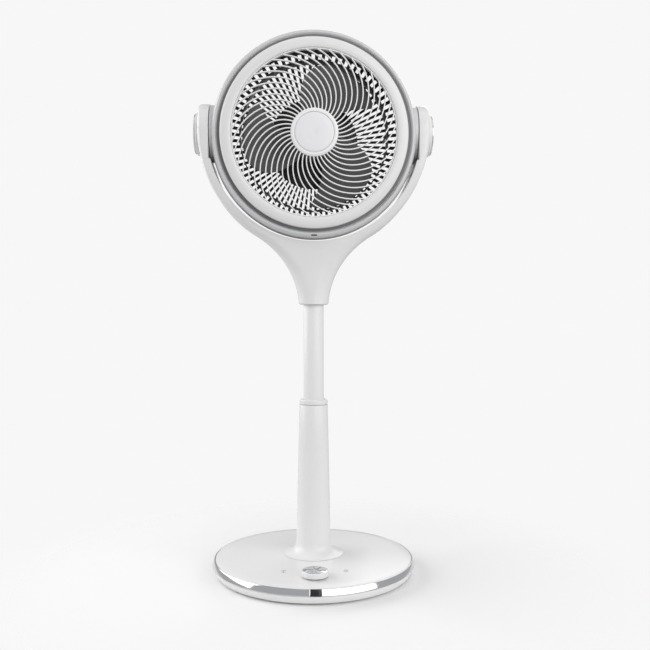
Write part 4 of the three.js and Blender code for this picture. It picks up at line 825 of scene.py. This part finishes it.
# ---------- duct ring ----------
# A short black ring round the tips of the blades. It stands on thin posts on
# the rear guard.
DUCT_INNER = 124.25
DUCT_OUTER = 126.25
DUCT_FRONT = 37.8
DUCT_BACK = DUCT_FRONT - 28.0
POST_COUNT = 8
POST_HALF_TURN = 0.9
POST_LENGTH = 55.0
duct = turned_in_head("duct_ring", [
    (DUCT_INNER, DUCT_BACK), (DUCT_OUTER, DUCT_BACK), (DUCT_OUTER, DUCT_FRONT),
    (DUCT_INNER, DUCT_FRONT),
])
softened(duct, 0.4)
post_lines = []
for radius in (DUCT_INNER, DUCT_OUTER):
    post_lines.append([in_drum(radius, BAR_PHASE + half, GUARD_FRONT + 0.3)
                       for half in (-POST_HALF_TURN, POST_HALF_TURN)])
duct_posts = bridged("duct_posts", post_lines, POST_LENGTH)
softened(duct_posts, 0.2)
repeated(duct_posts, POST_COUNT, math.tau / POST_COUNT, DRUM_CENTRE, FORWARD)
fused(duct, duct_posts)
finish(duct, black_matt, "head", "black_plastic", "air_duct")

# ---------- fan impeller ----------
# Three broad crescent blades and their hub, moulded together in dark grey.
# Each blade is twisted and swept back, and its corners are rounded.
graphite = plastic("graphite", (0.125, 0.125, 0.128), 0.42, bump=0.02)
FAN_BACK = 2.1
FAN_FRONT = 38.1
FAN_HUB = 36.0
FAN_TIP = 122.0
BLADE_SPAN = 69.0
BLADE_SKEW = 26.0
BLADE_PHASE = 84.0
BLADE_RISE = 34.0
BLADE_CELLS = 22
BLADE_COUNT = 3
BLADE_WALL = 2.4
FAN_BORE = 4.4


def blade_place(out, across):
    """A place on the blade's middle face, from its share outwards and across."""
    span = BLADE_SPAN * (1.0 - 0.1 * out ** 6)
    corner = (abs(across) * 2.0) ** 4
    radius = FAN_HUB - 1.5 + (FAN_TIP - FAN_HUB + 1.5) * out - 7.0 * corner * out ** 4
    turn = BLADE_PHASE - BLADE_SKEW * max(out, 0.0) ** 1.2 - span * across
    rise = -BLADE_RISE * across * (1.0 - 0.25 * out)
    return in_drum(radius, turn, (FAN_BACK + FAN_FRONT) / 2.0 + rise)


deselect()
bpy.ops.mesh.primitive_grid_add(x_subdivisions=BLADE_CELLS, y_subdivisions=BLADE_CELLS, size=2.0)
fan = named(bpy.context.object, "impeller")
for corner in fan.data.vertices:
    out_share, across_share = (corner.co.x + 1.0) / 2.0, corner.co.y / 2.0
    corner.co = blade_place(out_share, across_share)
skin = fan.modifiers.new("wall", "SOLIDIFY")
skin.thickness = BLADE_WALL * MM
skin.offset = 0.0
softened(fan, 0.9, segments=2, angle=50.0)
repeated(fan, BLADE_COUNT, math.tau / BLADE_COUNT, DRUM_CENTRE, FORWARD)
fan_hub = turned_in_head("impeller_hub", [
    (FAN_BORE, FAN_BACK), (7.0, FAN_BACK), (7.0, FAN_FRONT - 3.0), (28.0, FAN_FRONT - 3.0),
    (33.0, FAN_FRONT - 9.0), (33.0, FAN_BACK), (FAN_HUB, FAN_BACK), (FAN_HUB, FAN_FRONT - 7.0),
    (FAN_HUB - 1.4, FAN_FRONT - 3.4), (FAN_HUB - 3.8, FAN_FRONT - 1.0), (FAN_HUB - 7.0, FAN_FRONT),
    (FAN_BORE, FAN_FRONT),
], steps=96)
softened(fan_hub, 0.4, angle=35.0)
fused(fan, fan_hub)
finish(fan, graphite, "fan", "graphite", "fan_impeller")

# ---------- knob ----------
# The rotary push knob: a white skirt and, let into its top, a chrome-plated
# cap on which five lobes are raised like a small propeller.
KNOB_CENTRE = Vector((0.0, -0.120, 0.0))
KNOB_BOTTOM = 31.7
KNOB_TOP = 40.1
KNOB_RADIUS = 21.5
KNOB_BORE = 3.3
CAP_RADIUS = 19.5
CAP_SEAT = 37.8
CAP_BACK = 38.1
CAP_FACE = 39.7
LOBE_COUNT = 5
LOBE_START = 2.4
LOBE_REACH = 16.0
LOBE_FOOT = 38.9
LOBE_HEIGHT = 1.6
knob = spun("knob_skirt", [
    (KNOB_BORE, KNOB_BOTTOM), (KNOB_RADIUS, KNOB_BOTTOM), (KNOB_RADIUS, KNOB_TOP - 1.2),
    (KNOB_RADIUS - 0.4, KNOB_TOP - 0.5), (KNOB_RADIUS - 1.2, KNOB_TOP - 0.2),
    (CAP_RADIUS + 0.3, KNOB_TOP - 0.4), (CAP_RADIUS + 0.3, CAP_SEAT), (KNOB_BORE, CAP_SEAT),
], steps=128, origin=KNOB_CENTRE)
softened(knob, 0.25, angle=35.0)
finish(knob, gloss_white, "knob", "white_plastic", "knob_body")
cap = spun("knob_plated_cap", [
    (0.0, CAP_BACK), (CAP_RADIUS, CAP_BACK), (CAP_RADIUS, CAP_FACE - 0.3),
    (CAP_RADIUS - 0.5, CAP_FACE), (0.0, CAP_FACE),
], steps=128, origin=KNOB_CENTRE)
softened(cap, 0.15, angle=35.0)


def on_knob(radius, degrees):
    """A place on the knob's cap."""
    turn = math.radians(degrees)
    return KNOB_CENTRE + Vector((radius * math.cos(turn), radius * math.sin(turn), LOBE_FOOT)) * MM


lobe_lines = []
for lean, tip_lean in ((22.0, 26.0), (-14.0, -12.0)):
    lobe_line = [on_knob(LOBE_START, 4.0 if lean > 0 else -4.0)]
    for share in (0.25, 0.45, 0.65, 0.82, 1.0):
        lobe_line.append(on_knob(LOBE_START + LOBE_REACH * share, lean + (tip_lean - lean) * share))
    lobe_lines.append(lobe_line)
lobe = bridged("knob_lobes", lobe_lines, LOBE_HEIGHT, UP)
softened(lobe, 0.5, segments=3, angle=40.0)
repeated(lobe, LOBE_COUNT, math.tau / LOBE_COUNT, KNOB_CENTRE, UP)
fused(cap, lobe)
finish(cap, chrome, "knob", "chrome", "knob_cap")

# ---------- yoke ----------
# The white fork that holds the head: a round neck that spreads into a bowl
# and two arms. It is moulded in a front and a rear half that meet in the
# middle plane.
NECK_BOTTOM = 460.9
NECK_FLOOR = 510.2
PIVOT_HEIGHT = 754.9
ARM_OUTER = 195.5
ARM_FACE = 177.0
BOWL_INNER = 179.0
BOWL_DEPTH = 203.0
ARM_END = 50.0
NECK_RADIUS = 26.0
JOIN_ANGLE = math.asin(100.0 / ARM_OUTER)
SWEEP_REACH = 40.0
RISE_CELLS = 26
BOWL_CELLS = 28
END_CELLS = 15
END_STEP = math.radians(5.9)


def curve_point(points, t):
    """A point of a Bezier curve through two to four control points."""
    line = [Vector(point) for point in points]
    while len(line) > 1:
        line = [a.lerp(b, t) for a, b in zip(line, line[1:])]
    return line[0]


def bowl_point(turn):
    """A point of the bowl's outer curve, as (width, height)."""
    return Vector((ARM_OUTER * math.sin(turn), PIVOT_HEIGHT - BOWL_DEPTH * math.cos(turn)))


def yoke_outline():
    """The right half of the yoke's front outline, from the neck up, as (width, height)."""
    join = bowl_point(JOIN_ANGLE)
    sweep = Vector((ARM_OUTER * math.cos(JOIN_ANGLE), BOWL_DEPTH * math.sin(JOIN_ANGLE)))
    sweep = sweep.normalized() * SWEEP_REACH
    edge = NECK_BOTTOM + 5.0
    foot = [(NECK_RADIUS - 5.0, NECK_BOTTOM), (NECK_RADIUS, NECK_BOTTOM), (NECK_RADIUS, edge)]
    rise = [(NECK_RADIUS, edge), (NECK_RADIUS + 5.0, edge + 55.0), join - sweep, join]
    points = [curve_point(foot, t) for t in (0.0, 0.15, 0.35, 0.6, 0.8)]
    points += [curve_point(rise, i / RISE_CELLS) for i in range(RISE_CELLS + 1)]
    for i in range(1, BOWL_CELLS + 1):
        points.append(bowl_point(JOIN_ANGLE + (math.pi / 2.0 - JOIN_ANGLE) * i / BOWL_CELLS))
    for i in range(1, END_CELLS + 1):
        points.append(Vector((ARM_OUTER, PIVOT_HEIGHT + ARM_END * math.sin(i * END_STEP))))
    return points


def smooth_share(value, low, high):
    """A share from 0 to 1 that leaves and arrives gently."""
    share = min(max((value - low) / (high - low), 0.0), 1.0)
    return share * share * (3.0 - 2.0 * share)


def yoke_depth(height):
    """Half the yoke's depth, front to back, at a height."""
    if height > PIVOT_HEIGHT:
        return math.sqrt(max(ARM_END ** 2 - (height - PIVOT_HEIGHT) ** 2, 4.0))
    return NECK_RADIUS + (ARM_END - NECK_RADIUS) * smooth_share(height, NECK_FLOOR, PIVOT_HEIGHT)


CORNER_CELLS = 8
ARM_CORNER = 8.0
deselect()
rings = []
for point in yoke_outline():
    half_width, height = point.x, point.y
    depth = yoke_depth(height)
    squared = smooth_share(height, NECK_FLOOR - 22.0, PIVOT_HEIGHT - ARM_END)
    corner = NECK_RADIUS + (ARM_CORNER - NECK_RADIUS) * squared
    corner = min(corner, 0.98 * min(half_width, depth))
    bpy.ops.mesh.primitive_plane_add(size=2.0 * MM, location=(0.0, 0.0, 0.0))
    ring = bpy.context.object
    bpy.ops.object.mode_set(mode="EDIT")
    bpy.ops.transform.resize(value=(half_width, depth, 1.0), center_override=(0.0, 0.0, 0.0))
    bpy.ops.mesh.bevel(offset=corner * MM, segments=CORNER_CELLS, affect="VERTICES")
    bpy.ops.mesh.select_all(action="SELECT")
    bpy.ops.mesh.delete(type="ONLY_FACE")
    bpy.ops.mesh.select_all(action="SELECT")
    bpy.ops.transform.translate(value=(0.0, 0.0, height * MM))
    bpy.ops.object.mode_set(mode="OBJECT")
    rings.append(ring)
yoke = named(fused(*rings), "yoke_moulding")
bpy.ops.object.mode_set(mode="EDIT")
bpy.ops.mesh.select_all(action="SELECT")
bpy.ops.mesh.bridge_edge_loops()
bpy.ops.mesh.select_all(action="SELECT")
bpy.ops.mesh.fill_holes(sides=0)
sealed()

LEDGE = PIVOT_HEIGHT - 51.5
BOWL_CENTRE = Vector((0.0, 0.0, (PIVOT_HEIGHT - DRUM_DROP) * MM))
POST_ROOM = 19.0
bowl = solid_cylinder("bowl_space", BOWL_INNER, -260.0, 260.0, BOWL_CENTRE, BACKWARD, RIGHT, 256)
below_ledge = box_solid("below_ledge", (-250.0, -280.0, 300.0), (250.0, 280.0, LEDGE + 0.5))
combined(bowl, below_ledge, "INTERSECT")
arm_space = box_solid("arm_space", (-ARM_FACE, -270.0, LEDGE), (ARM_FACE, 270.0, 900.0))
combined(bowl, arm_space, "UNION")
combined(yoke, bowl, "DIFFERENCE")
post_room = solid_cylinder("post_room", POST_ROOM, NECK_BOTTOM - 2.0, 506.0, Vector(), UP, RIGHT)
combined(yoke, post_room, "DIFFERENCE")
softened(yoke, 1.6, segments=3, angle=38.0)

# The seam between the two halves is a fine dark line all round.
SEAM_HALF = 0.15
halves = []
for side, label in ((-1.0, "front"), (1.0, "rear")):
    half = yoke.copy()
    half.data = yoke.data.copy()
    scene.collection.objects.link(half)
    picked(named(half, "yoke_" + label + "_half"))
    bpy.ops.object.mode_set(mode="EDIT")
    bpy.ops.mesh.select_all(action="SELECT")
    bpy.ops.mesh.bisect(plane_co=(0.0, side * SEAM_HALF * MM, 0.0), plane_no=(0.0, side, 0.0),
                        use_fill=True, clear_inner=True, clear_outer=False)
    bpy.ops.object.mode_set(mode="OBJECT")
    smoothed(half)
    finish(half, gloss_white, "yoke", "white_plastic", "yoke_" + label + "_shell")
    halves.append(half)
bpy.data.objects.remove(yoke, do_unlink=True)

# ---------- pivot caps ----------
# The round stepped caps over the pivots: white plastic, pressed into the arms.
# A plated ring is let into the outer edge of each.
CAP_BASE = 195.8
CAP_WIDTH = 36.5
CAP_STEP = 33.5
CAP_TOP = 204.3
TRIM_BACK = 201.9
TRIM_FRONT = 204.0
for side, label in ((-1.0, "left"), (1.0, "right")):
    pivot_cap = spun("pivot_cap_" + label + "_cover", [
        (0.0, CAP_BASE), (CAP_WIDTH, CAP_BASE), (CAP_WIDTH, 199.2), (35.9, 199.9),
        (CAP_STEP, 200.1), (CAP_STEP, 203.2), (33.0, 203.9), (32.0, CAP_TOP),
        (27.0, CAP_TOP), (24.0, 203.7), (0.0, 203.5),
    ], steps=128, origin=PIVOT, axis=RIGHT * side, across=HEAD_UP)
    softened(pivot_cap, 0.3, angle=35.0)
    finish(pivot_cap, gloss_white, "yoke", "white_plastic", "pivot_cap_" + label)
    trim = spun("pivot_trim_" + label, [
        (0.0, 203.4), (25.0, 203.6), (28.0, TRIM_FRONT), (32.2, TRIM_FRONT), (32.6, 203.6),
        (33.9, 203.1), (33.9, TRIM_BACK), (33.4, TRIM_BACK), (0.0, TRIM_BACK),
    ], steps=128, origin=PIVOT, axis=RIGHT * side, across=HEAD_UP)
    softened(trim, 0.15, angle=35.0)
    finish(trim, chrome, "yoke", "chrome")

# ---------- screws at the back of the neck ----------
# Two steel screws with crossed slots hold the halves of the yoke together.
steel = metal("steel", (0.5, 0.51, 0.52), 0.34)
steel_tree = steel.node_tree
steel_shader = steel_tree.nodes["Principled BSDF"]
steel_noise = steel_tree.nodes.new("ShaderNodeTexNoise")
steel_noise.inputs["Scale"].default_value = 700.0
steel_place = steel_tree.nodes.new("ShaderNodeTexCoord")
steel_gloss = steel_tree.nodes.new("ShaderNodeMapRange")
steel_gloss.inputs["To Min"].default_value = 0.26
steel_gloss.inputs["To Max"].default_value = 0.42
steel_tree.links.new(steel_place.outputs["Object"], steel_noise.inputs["Vector"])
steel_tree.links.new(steel_noise.outputs["Fac"], steel_gloss.inputs["Value"])
steel_tree.links.new(steel_gloss.outputs["Result"], steel_shader.inputs["Roughness"])
SCREW_HEIGHTS = (492.0, 556.0)
SCREW_RADIUS = 3.2
RECESS_RADIUS = 3.6
CROSS_LONG = 2.0
CROSS_NARROW = 0.35
for index, height in enumerate(SCREW_HEIGHTS):
    seat = Vector((0.0, 0.0, height)) * MM
    face = yoke_depth(height)
    recess = solid_cylinder("screw_recess", RECESS_RADIUS, face - 2.6, face + 5.0,
                            seat, BACKWARD, RIGHT, 48)
    combined(halves[1], recess, "DIFFERENCE")
    screw = spun("neck_screw_%d" % (index + 1), [
        (0.0, face - 4.0), (3.0, face - 4.0), (SCREW_RADIUS, face - 2.0), (2.6, face - 1.3),
        (0.0, face - 1.0),
    ], steps=40, origin=seat, axis=BACKWARD)
    for wide, high in ((CROSS_LONG, CROSS_NARROW), (CROSS_NARROW, CROSS_LONG)):
        cross_low = (-wide, face - 2.2, height - high)
        cross_high = (wide, face + 1.0, height + high)
        combined(screw, box_solid("cross_slot", cross_low, cross_high), "DIFFERENCE")
    finish(screw, steel, "yoke", "steel")
smoothed(halves[1])

# ---------- inner parts ----------
# What the mouldings hide, or show only through a gap, keeps its plain form:
# iron, steel, copper, nylon, circuit board and the dark motor parts.
cast_iron = plastic("cast_iron", (0.05, 0.05, 0.053), 0.7, grain=0.12, bump=0.3, scale=350.0)
nylon = plastic("nylon", (0.72, 0.69, 0.6), 0.5, grain=0.08, bump=0.04)
board_green = plastic("board_lacquer", (0.014, 0.1, 0.04), 0.3, grain=0.06, bump=0.05, scale=500.0)
copper = metal("copper", (0.48, 0.19, 0.08), 0.34)
INNER_FINISHES = {
    cast_iron: ("ballast_plate", "motor_rotor"),
    nylon: ("switch_plunger", "guide_bush", "stop_ring", "swivel_post", "swivel_washer",
            "pivot_bush"),
    board_green: ("control_board", "driver_board"),
    copper: ("touch_key_left", "touch_key_right", "motor_stator"),
    graphite: ("fan_nut",),
    steel: ("column_socket", "base_screw_1", "base_screw_2", "base_screw_3", "encoder_body",
            "knob_shaft", "core_tube", "swivel_shaft", "swivel_motor", "pivot_pin", "tilt_shaft",
            "tilt_motor", "motor_housing", "motor_end_plate", "motor_bearing_front",
            "motor_bearing_rear", "motor_shaft"),
}
for material, names in INNER_FINISHES.items():
    for name in names:
        nodes[name].material_slots[0].material = material
